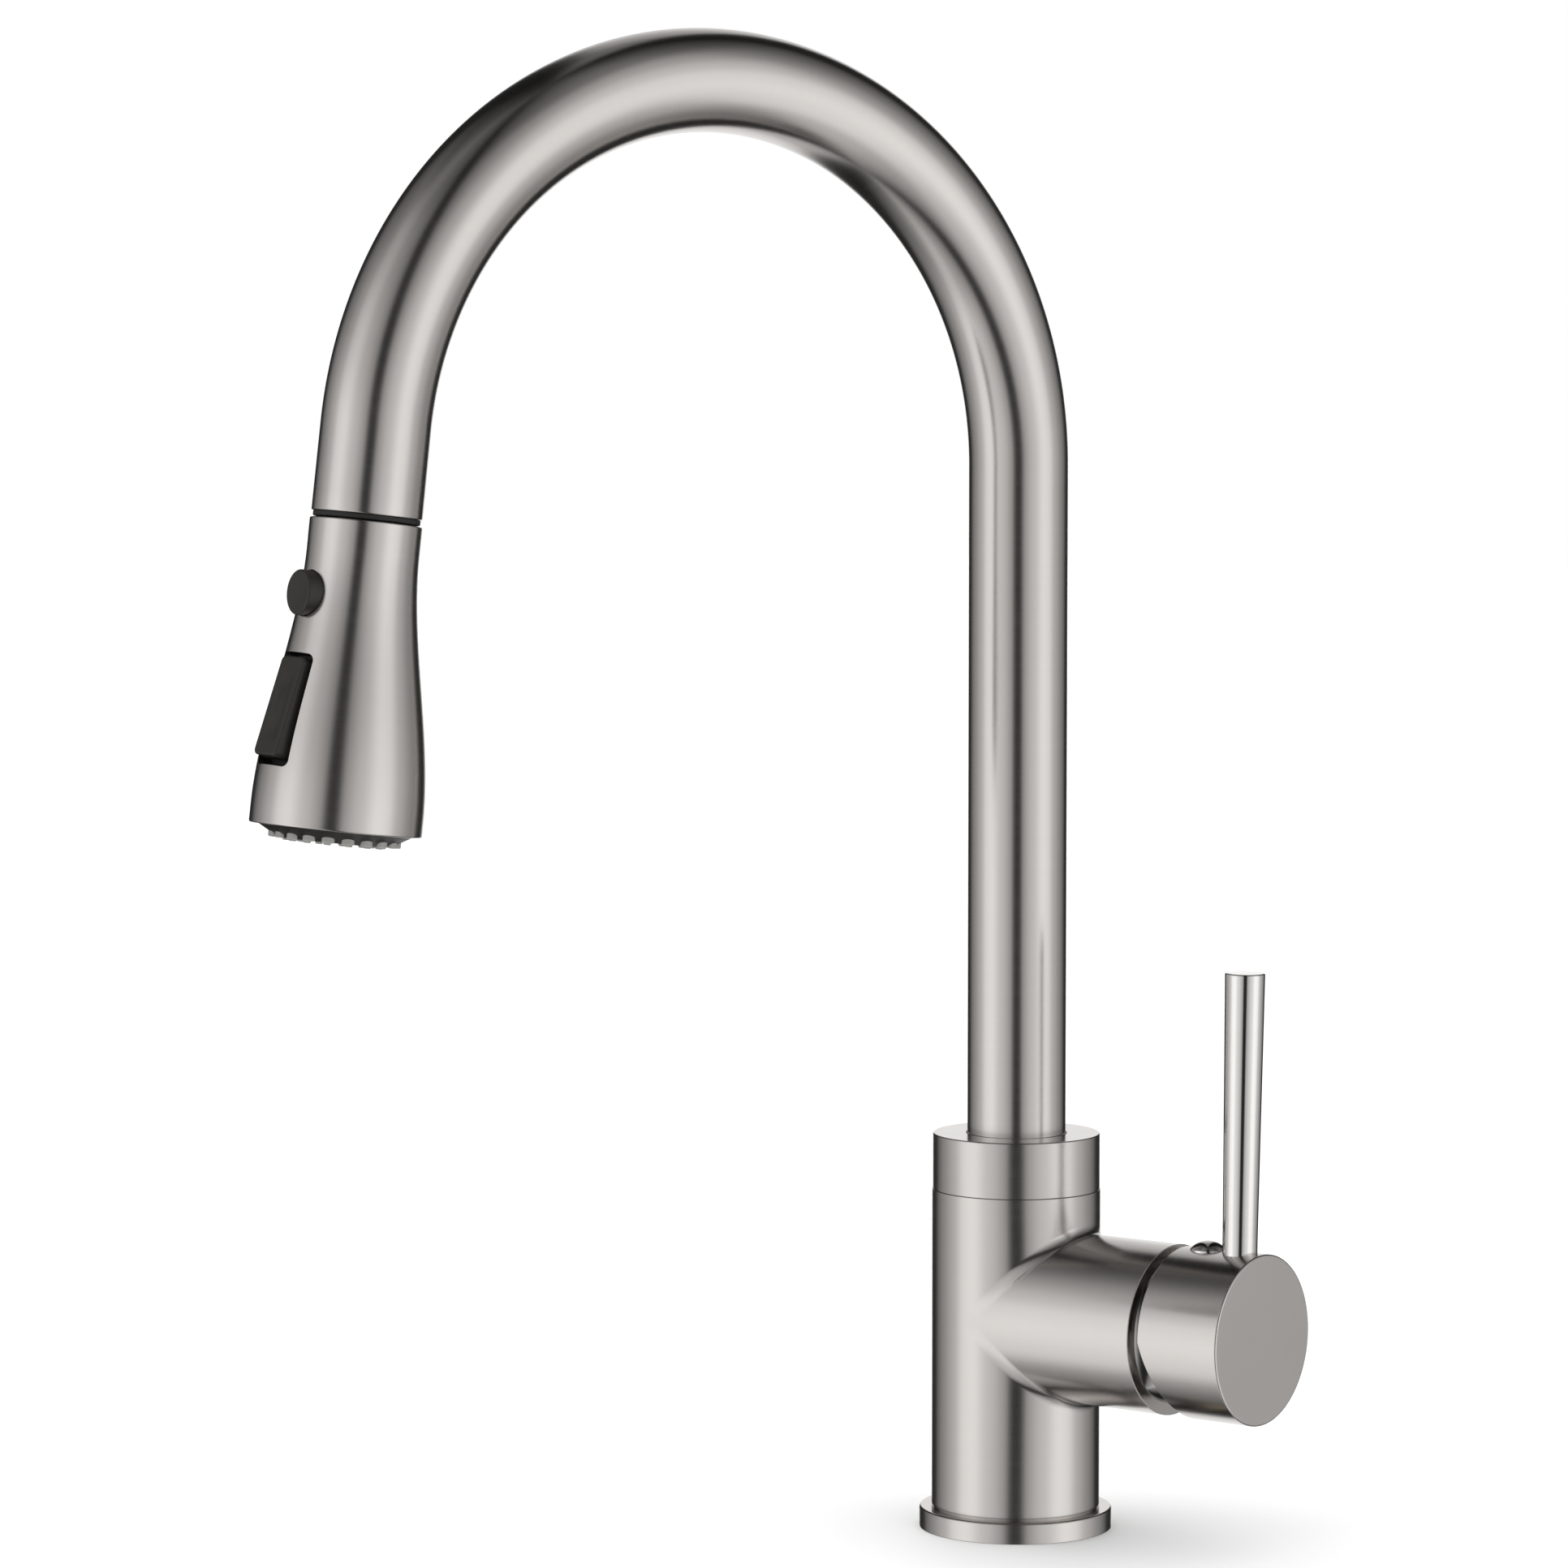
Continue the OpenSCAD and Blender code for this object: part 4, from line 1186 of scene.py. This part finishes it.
@dataclass
class SpoutPath:
    """Centre line of the spout: riser, arch and outlet in one upright plane.

    Args:
        radius: The arch's radius.
        angle: The angle that the arch turns through.
        start: Height where the arch starts.
        outlet: Length of the outlet.
        plane: Axes with x towards the outlet and z up.
    """

    radius: float
    angle: float
    start: float
    outlet: float
    plane: Axes

    @classmethod
    def measured(cls, bench: Bench) -> SpoutPath:
        """Finds the path from the frame.

        The reach is R (1 - cos A) + L sin A and the end's height Z + R sin A + L cos A, and
        the tube's top is at Z + R + r, so R and L follow from two linear equations.

        Args:
            bench: The frame's facts.

        Returns:
            The path.
        """
        end, axis = bench.anchor("head_twist"), bench.direction("head_twist")
        heading = end * (1, 1, 0) / math.hypot(end[0], end[1])
        angle = math.pi - math.acos(-axis[2])
        tube = Spout.tube_radius
        top = bench.span("spout_tube")[1][2] - tube
        sine, cosine = math.sin(angle), math.cos(angle)
        sides = np.array([math.hypot(end[0], end[1]), end[2] - top])
        radius, outlet = np.linalg.solve([[1 - cosine, sine], [sine - 1, cosine]], sides)
        plane = Axes.along((0, 0, 0), (0, 0, 1), heading)
        return cls(float(radius), angle, top - float(radius), float(outlet), plane)

    @property
    def length(self) -> float:
        """Length from the deck to the spout's end."""
        return self.start + self.radius * self.angle + self.outlet

    def bend(self, points: np.ndarray) -> np.ndarray:
        """Bends a straight piece along the path.

        A point (x, y, s) goes to the path's place at length s, plus x along the path's inner
        side and y across the plane.

        Args:
            points: Places on the straight piece, one a row.

        Returns:
            Their places in the frame.
        """
        s = points[:, 2]
        turn = np.clip((s - self.start) / self.radius, 0, self.angle)
        rise = np.minimum(s, self.start)
        run = np.maximum(s - self.start - self.radius * self.angle, 0)
        u = self.radius * (1 - np.cos(turn)) + run * np.sin(turn) + points[:, 0] * np.cos(turn)
        z = rise + self.radius * np.sin(turn) + run * np.cos(turn) - points[:, 0] * np.sin(turn)
        return self.plane.place(np.stack([u, points[:, 1], z], 1))


@dataclass
class Spout:
    """Gooseneck tube with the parts at its two ends."""

    tube_radius: float = 14 * MM
    wall: float = 1.2 * MM
    end_radius: float = 14.6 * MM
    bush_bore: float = 9.55 * MM

    def build(self, bench: Bench, path: SpoutPath, head: Axes) -> None:
        """Builds the tube and the dock at its end."""
        self._tube(bench, path)
        self._dock(bench, head)
        bench.dress(YELLOW_BRASS, "swivel_nipple")
        bench.dress(BLACK_RUBBER, "swivel_o_rings")
        bench.dress(STAINLESS, "split_ring")

    def _tube(self, bench: Bench, path: SpoutPath) -> None:
        """A tube that widens evenly from the arch's top to its end."""
        foot = bench.span("spout_tube")[0][2]
        widen = path.start + path.radius * math.pi / 2
        lip = 0.45 * MM
        rows = np.concatenate(
            [
                [foot, 0.5 * (foot + path.start)],
                np.linspace(path.start, path.start + path.radius * path.angle, 150),
                np.linspace(path.length - path.outlet, path.length - lip, 6)[1:],
            ]
        )
        share = np.clip((rows - widen) / (path.length - widen), 0, 1)
        outer = self.tube_radius + (self.end_radius - self.tube_radius) * share
        turn = np.linspace(0, math.pi / 2, 6)[1:]
        rim = np.stack(
            [self.end_radius - lip + lip * np.cos(turn), path.length - lip + lip * np.sin(turn)], 1
        )
        inner = np.stack([outer - self.wall, rows], 1)[::-1]
        inner[0, 1] = path.length
        profile = np.concatenate([np.stack([outer, rows], 1), rim, inner])
        shape = turned(profile, 128).mapped(path.bend).outward()
        bench.piece("gooseneck", shape, "spout", NICKEL, ["spout_tube"])

    def _dock(self, bench: Bench, head: Axes) -> None:
        """The bush in the spout's end and the black gasket below it."""
        low, high = bench.span("dock_bush", head)
        fillets = (1.0 * MM, 0.3 * MM, 0.3 * MM, 1.2 * MM)
        profile = ring_outline(self.bush_bore, high[0], low[2], high[2], fillets)
        bench.piece("dock_sleeve", turned(profile), "spout", BLACK_PLASTIC, ["dock_bush"], head)
        low, high = bench.span("dock_gasket", head)
        bore = self.bush_bore + 1.1 * MM
        fillets = (0.3 * MM, 0.4 * MM, 0.2 * MM, 0.2 * MM)
        profile = ring_outline(bore, high[0], low[2], high[2], fillets)
        bench.piece("dock_ring", turned(profile, 128), "spout", BLACK_RUBBER, ["dock_gasket"], head)


@dataclass
class Hose:
    """Braided spray hose inside the spout, with the metal parts on its ends."""

    radius: float = 5.5 * MM
    bore: float = 3.5 * MM
    ripple: float = 0.12 * MM
    steps: int = 84

    def build(self, bench: Bench, path: SpoutPath, head: Axes) -> None:
        """Builds the hose in two lengths: the braid inside the spout, and its last stretch up to
        the ferrule.
        """
        low = bench.span("spray_hose")[0][2]
        ferrule = bench.span("hose_ferrule", head)[1][2]
        end = path.length - ferrule
        split = end - 1.2 * MM
        rows = np.arange(low, split, 1.5 * MM)
        shape = self._sleeve(np.append(rows, split + 0.3 * MM), lambda s: s)
        shape = shape.mapped(path.bend).outward()
        bench.piece("hose_inside", shape, "spout", GREY_BRAID, ["spray_hose"])
        travel = bench.joints["spray_pull"]["range_m"][1]
        start = split + 0.1 * MM
        steps = np.linspace(split - 0.2 * MM, end, 161)

        def drawn(s: np.ndarray) -> np.ndarray:
            """Length along the hose once it is drawn out."""
            return s + travel * smooth_step((s - start) / (end - start))

        shape = self._sleeve(steps, drawn).mapped(path.bend).outward()
        made = bench.piece("hose_drawn", shape, "hose_end", GREY_BRAID)
        self._draw_out(made, head, path.length - start, ferrule)
        bench.dress(STAINLESS, "hose_ferrule")
        bench.dress(YELLOW_BRASS, "swivel_tail", "hose_connector")
        bench.dress(BLACK_RUBBER, "tail_seal")

    def _sleeve(self, rows: np.ndarray, length: Callable[[np.ndarray], np.ndarray]) -> Shape:
        """A tube whose surface ripples with the braid.

        Formula: radius + ripple max(|sin n(a + k s)|, |sin n(a - k s)|), s being the length
        along the hose.

        Args:
            rows: Lengths of the rows along the straight hose.
            length: The rule that gives the braid's own length for a row.

        Returns:
            The straight tube.
        """
        angles = ring_angles(self.steps)
        climb = 2 * math.pi * length(rows)[:, None] / GREY_BRAID.pitch
        strands = GREY_BRAID.strands
        weave = np.maximum(
            np.abs(np.sin(strands * (angles + climb))), np.abs(np.sin(strands * (angles - climb)))
        )
        outer = self.radius - self.ripple * (1 - weave)
        inner = np.full_like(outer, self.bore)
        radius = np.concatenate([outer, inner[::-1]])
        height = np.concatenate([rows, rows[::-1]])[:, None]
        points = around(radius, height, angles)
        shape = grid(points, close_rows=True, close_columns=True).outward()
        grain = shape.points.copy()
        grain[:, 2] = length(grain[:, 2])
        return Shape(shape.points, shape.faces, grain)

    @staticmethod
    def _draw_out(piece: bpy.types.Object, head: Axes, start: float, end: float) -> None:
        """Takes the hose's last stretch off its body and bakes its place into its points."""
        piece.parent = None
        piece.matrix_world = Matrix.Identity(4)
        places = head.place(np.array([[0, 0, start], [0, 0, end]]))
        tuple(places[0])
        tuple(places[1])
        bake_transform(piece)


@dataclass
class SprayHead:
    """Spray head: flared shell, rocker, pause button and nozzle."""

    wall: float = 1.6 * MM
    top_radius: float = 14.8 * MM
    flare_start: float = 8 * MM
    flare_rest: float = 12 * MM
    neck_bore: float = 9.35 * MM
    button_gap: float = 0.25 * MM
    rocker_length: float = 27 * MM
    rocker_width: float = 11.5 * MM
    rocker_lift: float = 1 * MM
    rocker_middle: float = 50.5 * MM
    rocker_tip: float = math.radians(4)
    pin_depth: float = 8 * MM
    slot_length: float = 30.2 * MM
    slot_width: float = 15.3 * MM
    nub_ring: float = 16.55 * MM
    flat_rings: tuple[float, float] = (12.6 * MM, 9.8 * MM)
    cone_width: float = 5.8 * MM
    aerator_bore: float = 7.05 * MM
    mat_radius: float = 20.7 * MM
    mat_thickness: float = 1.4 * MM
    button_dish: float = 1.2 * MM  # width of the button's edge, and depth of its underside
    button_bore: float = 4.4 * MM

    def build(self, bench: Bench, head: Axes) -> None:
        """Builds the head's visible pieces and dresses the rest."""
        low, high = bench.span("head_shell", head)
        self.top, self.rim = high[2], low[2]
        self.length = self.top - self.rim
        self.rim_radius = high[1]
        self._shell(bench, head)
        self._rocker(bench, head)
        self._button(bench, head)
        self._nozzle(bench, head)
        bench.dress(BLACK_PLASTIC, "head_core")
        bench.dress(WHITE_ACETAL, "check_valve", "diverter_spool")
        bench.dress(STAINLESS, "filter_screen", "rocker_pin", "pause_spring", "pause_valve")
        bench.dress(BLACK_RUBBER, "nozzle_seal")

    def flare(self, s: np.ndarray | float) -> np.ndarray:
        """Outer radius at a distance s below the shell's top: a smooth step between two ends."""
        share = smooth_step((s - self.flare_start) / (self.length - self.flare_rest))
        return self.top_radius + (self.rim_radius - self.top_radius) * share

    def _shell(self, bench: Bench, head: Axes) -> None:
        """A thin flared shell, with openings for the button and the rocker."""
        edge = 0.45 * MM
        turn = np.linspace(0, math.pi / 2, 6)
        s = np.linspace(edge, self.length - edge, 90)
        outer = np.stack([self.flare(s), s], 1)
        corner = np.array([self.rim_radius, self.length]) - edge
        rim = corner + edge * np.stack([np.cos(turn), np.sin(turn)], 1)
        inner = np.stack([self.flare(s[::-1]) - self.wall, s[::-1]], 1)
        inner[0, 1] = self.length
        inner[-1, 1] = self.wall
        bore = [(self.neck_bore, self.wall), (self.neck_bore, 0)]
        shoulder = np.stack(
            [self.top_radius - edge + edge * np.sin(turn), edge - edge * np.cos(turn)], 1
        )
        profile = np.concatenate([outer, rim[1:], inner, bore, shoulder[:-1]])
        profile[:, 1] = self.top - profile[:, 1]
        shape = turned(profile, 176)
        made = bench.piece("head_casing", shape, "head", NICKEL, ["head_shell"], head)
        button = bench.span("pause_button", head)
        radius = (button[1][1] - button[0][1]) / 2 + self.button_gap
        deep = outline([(0, 0, 0), (radius, 0, 0), (radius, 14 * MM, 0), (0, 14 * MM, 0)])
        side = Axes.along((9 * MM, 0, (button[0][2] + button[1][2]) / 2), (1, 0, 0), (0, 0, 1))
        hole = turned(deep, 96).warped(side.place)
        edge_line = rounded_box(self.slot_length, self.slot_width, 2 * MM, 96)
        slot = stacked([(edge_line, -6 * MM), (edge_line, 8 * MM)])
        slot = slot.warped(self._rocker_axes().place)
        bench.carve(made, [hole, slot], head)
        self._true_normals(made.data, head)

    def _true_normals(self, mesh: bpy.types.Mesh, head: Axes) -> None:
        """Gives the flared skin its exact normals, so that the cut edges leave no dents.

        The normal of a turned outline r(s) is (cos a, sin a, r'(s)) made a unit long, with z
        up the axis.
        """
        vertex = values_of(mesh.loops, "vertex_index", np.int32)
        points = head.local(vectors_of(mesh.vertices, "co"))[vertex]
        normals = vectors_of(mesh.corner_normals, "vector")
        totals = values_of(mesh.polygons, "loop_total", np.int32)
        facing = np.repeat(vectors_of(mesh.polygons, "normal"), totals, 0)
        s = self.top - points[:, 2]
        radius = np.hypot(points[:, 0], points[:, 1])
        step = 0.05 * MM
        slope = (self.flare(s + step) - self.flare(s - step)) / (2 * step)
        exact = np.stack([points[:, 0] / radius, points[:, 1] / radius, slope], 1)
        exact /= np.linalg.norm(exact, axis=1, keepdims=True)
        exact = exact @ head.rows
        off = np.abs(radius - self.flare(s))
        skin = (off < 0.02 * MM) & (np.einsum("ij,ij->i", exact, facing) > 0.97)
        normals[skin] = exact[skin]
        mesh.normals_split_custom_set([tuple(n) for n in normals])

    def _rocker_axes(self) -> Axes:
        """Axes on the rocker's face: x down along it, y across the head and z outwards."""
        half = self.rocker_length / 2
        ends = [float(self.flare(self.rocker_middle + d)) for d in (-half, half)]
        slope = math.atan2(ends[1] - ends[0], self.rocker_length)
        place = (sum(ends) / 2 + self.rocker_lift, 0, self.top - self.rocker_middle)
        return Axes.along(
            place, (math.cos(slope), 0, math.sin(slope)), (math.sin(slope), 0, -math.cos(slope))
        )

    def _rocker(self, bench: Bench, head: Axes) -> None:
        """A rounded bar with a shallow thumb hollow at each end."""
        corner, fall = 1.6 * MM, 0.6 * MM
        turn = np.linspace(0, math.pi / 2, 7)
        edge = rounded_box(self.rocker_length, self.rocker_width, corner, 144)
        layers = [(edge, -4.6 * MM), (edge, -1.5 * MM)]
        for angle in turn:
            inset = fall * (1 - math.cos(angle))
            length, width = self.rocker_length - 2 * inset, self.rocker_width - 2 * inset
            edge = rounded_box(length, width, corner - inset * 0.9, 144)
            layers.append((edge, -fall * (1 - math.sin(angle))))
        last = layers[-1][0]
        for scale in (0.97, 0.93, 0.88, 0.8, 0.7, 0.6, 0.5, 0.4, 0.3, 0.2, 0.1):
            layers.append((last * scale, self._hollow(last * scale)))
        face = self._rocker_axes()
        lug_r = 2.5 * MM
        lug = outline([(0, -lug_r, 0), (lug_r, -lug_r, 0), (lug_r, lug_r, 0), (0, lug_r, 0)])
        across = Axes.along((0, 0, -self.pin_depth), (0, 1, 0), (0, 0, 1))
        stem = rounded_box(5 * MM, 5 * MM, 0.5 * MM)
        finger = rounded_box(2 * MM, 2.6 * MM, 0.4 * MM)
        parts = [
            stacked(layers),
            turned(lug, 48).warped(across.place),
            stacked([(stem, -8 * MM), (stem, -2 * MM)]),
            stacked([(finger, -16.7 * MM), (finger, -8 * MM)]),
        ]
        shape = joined([Shape(p.points, p.faces) for p in parts]).warped(self._tipped)
        shape = shape.warped(face.place)
        bench.piece("rocker_cap", shape, "rocker", BLACK_PLASTIC, ["mode_rocker"], head)

    def _tipped(self, points: np.ndarray) -> np.ndarray:
        """Turns the rocker about its pin, with its lower end out."""
        x, z = points[:, 0], points[:, 2] + self.pin_depth
        c, s = math.cos(self.rocker_tip), math.sin(self.rocker_tip)
        return np.stack([x * c - z * s, points[:, 1], x * s + z * c - self.pin_depth], 1)

    def _hollow(self, edge: np.ndarray) -> np.ndarray:
        """Depth of the two thumb hollows: a smooth dip about a quarter length from the middle."""
        middle = self.rocker_length / 4
        away = np.hypot((np.abs(edge[:, 0]) - middle) / (5.2 * MM), edge[:, 1] / (4.4 * MM))
        return -0.7 * MM * (1 - smooth_step(away))

    def _button(self, bench: Bench, head: Axes) -> None:
        """A round button with a soft edge and a slight dish."""
        low, high = bench.span("pause_button", head)
        radius = (high[1] - low[1]) / 2
        top, bottom = high[0], low[0]
        edge, bore = self.button_dish, self.button_bore
        dish = np.linspace(radius - edge, 0, 14)
        crown = np.stack([dish, top - 0.25 * MM * (1 - (dish / (radius - edge)) ** 2)], 1)
        wall = outline(
            [
                (0, bottom + edge, 0),
                (bore, bottom + edge, 0.2 * MM),
                (bore, bottom, 0.2 * MM),
                (radius, bottom, 0.2 * MM),
                (radius, top, 0.55 * MM),
                (radius - edge, top, 0),
            ],
            6,
        )
        side = Axes.along((0, 0, (low[2] + high[2]) / 2), (1, 0, 0), (0, 0, 1))
        shape = turned(np.concatenate([wall, crown[1:]]), 96).warped(side.place)
        bench.piece("button_cap", shape, "button", BLACK_PLASTIC, ["pause_button"], head)

    def _nozzle(self, bench: Bench, head: Axes) -> None:
        """Nozzle plate, its soft nubs and the aerator in its middle."""
        low, high = bench.span("nozzle_plate", head)
        face, radius = low[2], high[1]
        cone = radius - self.cone_width
        bore = self.aerator_bore
        profile = outline(
            [
                (bore, face, 0.4 * MM),
                (cone, face, 0.8 * MM),
                (radius, self.rim + 0.15 * MM, 0.3 * MM),
                (radius, high[2], 0.3 * MM),
                (bore, high[2], 0.2 * MM),
            ],
            6,
        )
        shape = turned(profile, 144)
        bench.piece("nozzle_face", shape, "head", BLACK_PLASTIC, ["nozzle_plate"], head)
        self._nubs(bench, head, face, high[2])
        self._aerator(bench, head)

    def _nubs(self, bench: Bench, head: Axes, face: float, back: float) -> None:
        """Soft nozzles: oblong ones on the cone and round ones on the flat face."""
        tip, waist, hole = 0.45 * MM, 1 * MM, 0.35 * MM
        nub = turned(
            outline(
                [
                    (0, 0.8 * MM, 0),
                    (hole, 0.8 * MM, 0),
                    (hole, 0, 0.1 * MM),
                    (waist, 0, tip),
                    (waist, 4 * MM, 0),
                    (0, 4 * MM, 0),
                ],
                4,
            ),
            20,
        )
        parts = []
        rows = (
            (20, self.nub_ring, -0.1 * MM, 1.7),
            (14, self.flat_rings[0], -0.7 * MM, 1),
            (10, self.flat_rings[1], -0.7 * MM, 1),
        )
        for count, ring, rise, stretch in rows:
            for k in range(count):
                angle = 2 * math.pi * k / count
                out = (math.cos(angle), math.sin(angle), 0)
                seat = Axes.along((ring * out[0], ring * out[1], face + rise), (0, 0, 1), out)
                narrow = 1 if stretch == 1 else 0.95
                parts.append(Shape(seat.place(nub.points * (narrow, stretch, 1)), nub.faces))
        mat = ring_outline(self.aerator_bore, self.mat_radius, back, back + self.mat_thickness)
        parts.append(turned(mat, 96))
        bench.piece("nozzle_nubs", joined(parts), "head", GREY_SILICONE, ["nozzle_mat"], head)

    def _aerator(self, bench: Bench, head: Axes) -> None:
        """A ring with a fine square screen across it."""
        low, high = bench.span("aerator", head)
        radius = (high[1] - low[1]) / 2
        fillets = (0.25 * MM, 0.25 * MM, 0.2 * MM, 0.2 * MM)
        ring = ring_outline(radius - 1 * MM, radius, low[2], high[2], fillets)
        parts = [turned(ring, 96)]
        inner, spacing, bar = radius - 0.6 * MM, 1.1 * MM, 0.16 * MM
        for turn in (0, math.pi / 2):
            for k in range(-5, 6):
                half = math.sqrt(max(inner**2 - (k * spacing) ** 2, 0))
                rod = rounded_box(2 * half, 2 * bar, bar * 0.9, 16) + (0, k * spacing)
                c, s = math.cos(turn), math.sin(turn)
                spin = np.array([[c, s], [-s, c]])
                lift = low[2] + 0.9 * MM + (0.25 * MM if turn else 0)
                parts.append(stacked([(rod @ spin, lift), (rod @ spin, lift + 0.35 * MM)]))
        bench.piece("aerator_screen", joined(parts), "head", STAINLESS, ["aerator"], head)


@dataclass
class Mounting:
    """Threaded shank with what clamps it to the deck."""

    pitch: float = 1.5 * MM
    depth: float = 0.8 * MM
    wall: float = 2.1 * MM

    def build(self, bench: Bench) -> None:
        """Builds the shank and dresses the clamping parts."""
        low, high = bench.span("threaded_shank")
        self._shank(bench, low[2], high[2], high[0])
        bench.dress(YELLOW_BRASS, "mounting_nut")
        bench.dress(STAINLESS, "clamp_washer", "nut_screws")
        bench.dress(BLACK_RUBBER, "rubber_washer")

    def _shank(self, bench: Bench, low: float, high: float, radius: float) -> None:
        """A tube with a helical thread.

        Formula: radius - depth |2 f - 1|^0.8 clipped flat on its crests, where f is the
        fraction of z / pitch - a / 2 pi, fading out at both ends.
        """
        angles = ring_angles(96)
        rows = np.linspace(low, high, 1 + int((high - low) / self.pitch * 8))
        turns = rows[:, None] / self.pitch - angles / (2 * math.pi)
        ridge = np.abs(2 * (turns - np.floor(turns)) - 1)
        fade = smooth_step(np.minimum(rows - low, high - rows) / (1.2 * MM))[:, None]
        outer = radius - self.depth * np.clip(1.25 * ridge - 0.15, 0, 1) * fade
        outer -= 0.5 * MM * (1 - fade)
        inner = np.full((2, len(angles)), radius - self.wall)
        rounds = np.concatenate([outer, inner])
        heights = np.concatenate([rows, [high, low]])[:, None]
        points = around(rounds, heights, angles)
        shape = grid(points, close_rows=True, close_columns=True).outward()
        bench.piece("shank", shape, "base", STAINLESS, ["threaded_shank"])


# ---- studio ----


@dataclass
class Studio:
    """Camera, light and floor.

    Args:
        turn: The camera's azimuth.
        tilt: How far it looks down.
        aside: How far the column stands right of its line of sight.
        away: How far the column stands in front of it.
        height: The camera's height above the deck.
        lens: Its focal length in millimetres, on a 36 mm sensor.
        glow: Strength of the tent of light.
        gap_shift: How far the tent is turned against the camera.
        sun: Strength of the overhead light.
        sun_size: The angle that the overhead light covers.
        floor_half: Half of the floor's side.
    """

    turn: float = math.radians(37.42)
    tilt: float = math.radians(4.44)
    aside: float = 66.28 * MM
    away: float = 1623.53 * MM
    height: float = 339.1 * MM
    lens: float = 131.72
    glow: float = 1.2
    gap_shift: float = math.radians(-2.5)
    sun: float = 3.3
    sun_size: float = math.radians(110)
    floor_half: float = 6.0

    def build(self) -> None:
        """Sets up the camera, the dome, the overhead light and the floor."""
        self._camera()
        self._dome()
        self._overhead()
        self._floor()
        bpy.context.scene.view_settings.view_transform = "Standard"

    def _camera(self) -> None:
        """Places the camera and turns it towards the column."""
        right = np.array([math.cos(self.turn), math.sin(self.turn), 0])
        back = np.array([math.sin(self.turn), -math.cos(self.turn), 0])
        up = np.array([0, 0, 1.0])
        place = -self.aside * right + self.away * back + self.height * up
        z_axis = math.cos(self.tilt) * back + math.sin(self.tilt) * up
        y_axis = np.cross(z_axis, right)
        camera = new_object("camera", bpy.data.cameras.new("camera"))
        camera.data.sensor_width = 36
        camera.data.lens = self.lens
        camera.data.clip_start = 0.01
        rows = np.eye(4)
        rows[:3] = np.stack([right, y_axis, z_axis, place], 1)
        camera.matrix_world = Matrix(rows.tolist())
        bpy.context.scene.camera = camera

    def _dome(self) -> None:
        """A tent of light: two tall soft boxes, a dark gap between them and dark flags behind."""
        world = bpy.data.worlds.new("studio")
        bpy.context.scene.world = world
        world.use_nodes = True
        shader = Shader(world.node_tree)
        x, y, z = shader.split(shader.coordinates("Generated"))
        turn = self.turn + self.gap_shift
        across = x * math.cos(turn) + y * math.sin(turn)
        ahead = x * math.sin(turn) - y * math.cos(turn)
        aside = across.apply("ARCTAN2", ahead).apply("ABSOLUTE") * (1 / math.pi)
        levels = (
            (0, 0.015), (7, 0.02), (15, 0.42), (36, 0.66), (62, 1.0), (76, 0.92), (95, 0.52),
            (118, 0.30), (132, 0.17), (142, 0.02), (164, 0.02), (171, 0.9), (180, 0.95),
        )
        wide = shader.ramp(aside, [(a / 180, v) for a, v in levels])
        lift = z.apply("ARCSINE") * (1 / math.pi) + 0.5
        heights = (
            (-90, 0.35), (-55, 0.60), (-35, 0.92), (-8, 1.0), (10, 0.92),
            (25, 0.68), (45, 0.42), (60, 0.18), (90, 0.08),
        )
        tall = shader.ramp(lift, [(0.5 + a / 180, v) for a, v in heights])
        light = {"Color": wide * tall, "Strength": self.glow}
        tent = shader.wire("ShaderNodeBackground", None, light)
        white = shader.wire("ShaderNodeBackground", None, {"Color": (1, 1, 1, 1), "Strength": 1.0})
        seen = shader.wire("ShaderNodeLightPath", None, None, "Is Camera Ray")
        mixed = shader.wire("ShaderNodeMixShader", None, {0: seen, 1: tent, 2: white})
        shader.node("ShaderNodeOutputWorld", None, {"Surface": mixed})

    def _overhead(self) -> None:
        """A broad light from above that whitens the floor and stays out of the metal."""
        lamp = bpy.data.lights.new("overhead", "SUN")
        lamp.energy = self.sun
        lamp.angle = self.sun_size
        new_object("overhead", lamp).visible_glossy = False

    def _floor(self) -> None:
        """A plain pale floor."""
        half = self.floor_half
        corners = [(-half, -half, 0), (half, -half, 0), (half, half, 0), (-half, half, 0)]
        mesh = new_mesh("floor", np.array(corners), [(0, 1, 2, 3)])
        floor = new_object("floor", mesh)
        pale = bpy.data.materials.new("floor_paint")
        pale.use_nodes = True
        Shader(pale.node_tree).surface(Base_Color=(0.93, 0.93, 0.93, 1), Roughness=0.9)
        mesh.materials.append(pale)
        floor.visible_glossy = False
        floor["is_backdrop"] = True


def main() -> None:
    """Loads the frame and builds everything around it."""
    logging.basicConfig(level=logging.INFO, format="%(name)s: %(message)s")
    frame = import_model()
    cad_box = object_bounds()
    bench = Bench(frame)
    Studio().build()
    path = SpoutPath.measured(bench)
    end = bench.anchor("head_twist")
    head = Axes.along(end, -bench.direction("head_twist"), end * (1, 1, 0))
    Casting().build(bench)
    Valve().build(bench)
    Handle().build(bench)
    Spout().build(bench, path, head)
    Hose().build(bench, path, head)
    SprayHead().build(bench, head)
    Mounting().build(bench)
    log.info("%d pieces made", bench.made)
    sizes = {"cad": cad_box, "visual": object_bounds()}
    {k: [[float(c) for c in corner] for corner in v] for k, v in sizes.items()}


if __name__ == "__main__":
    main()
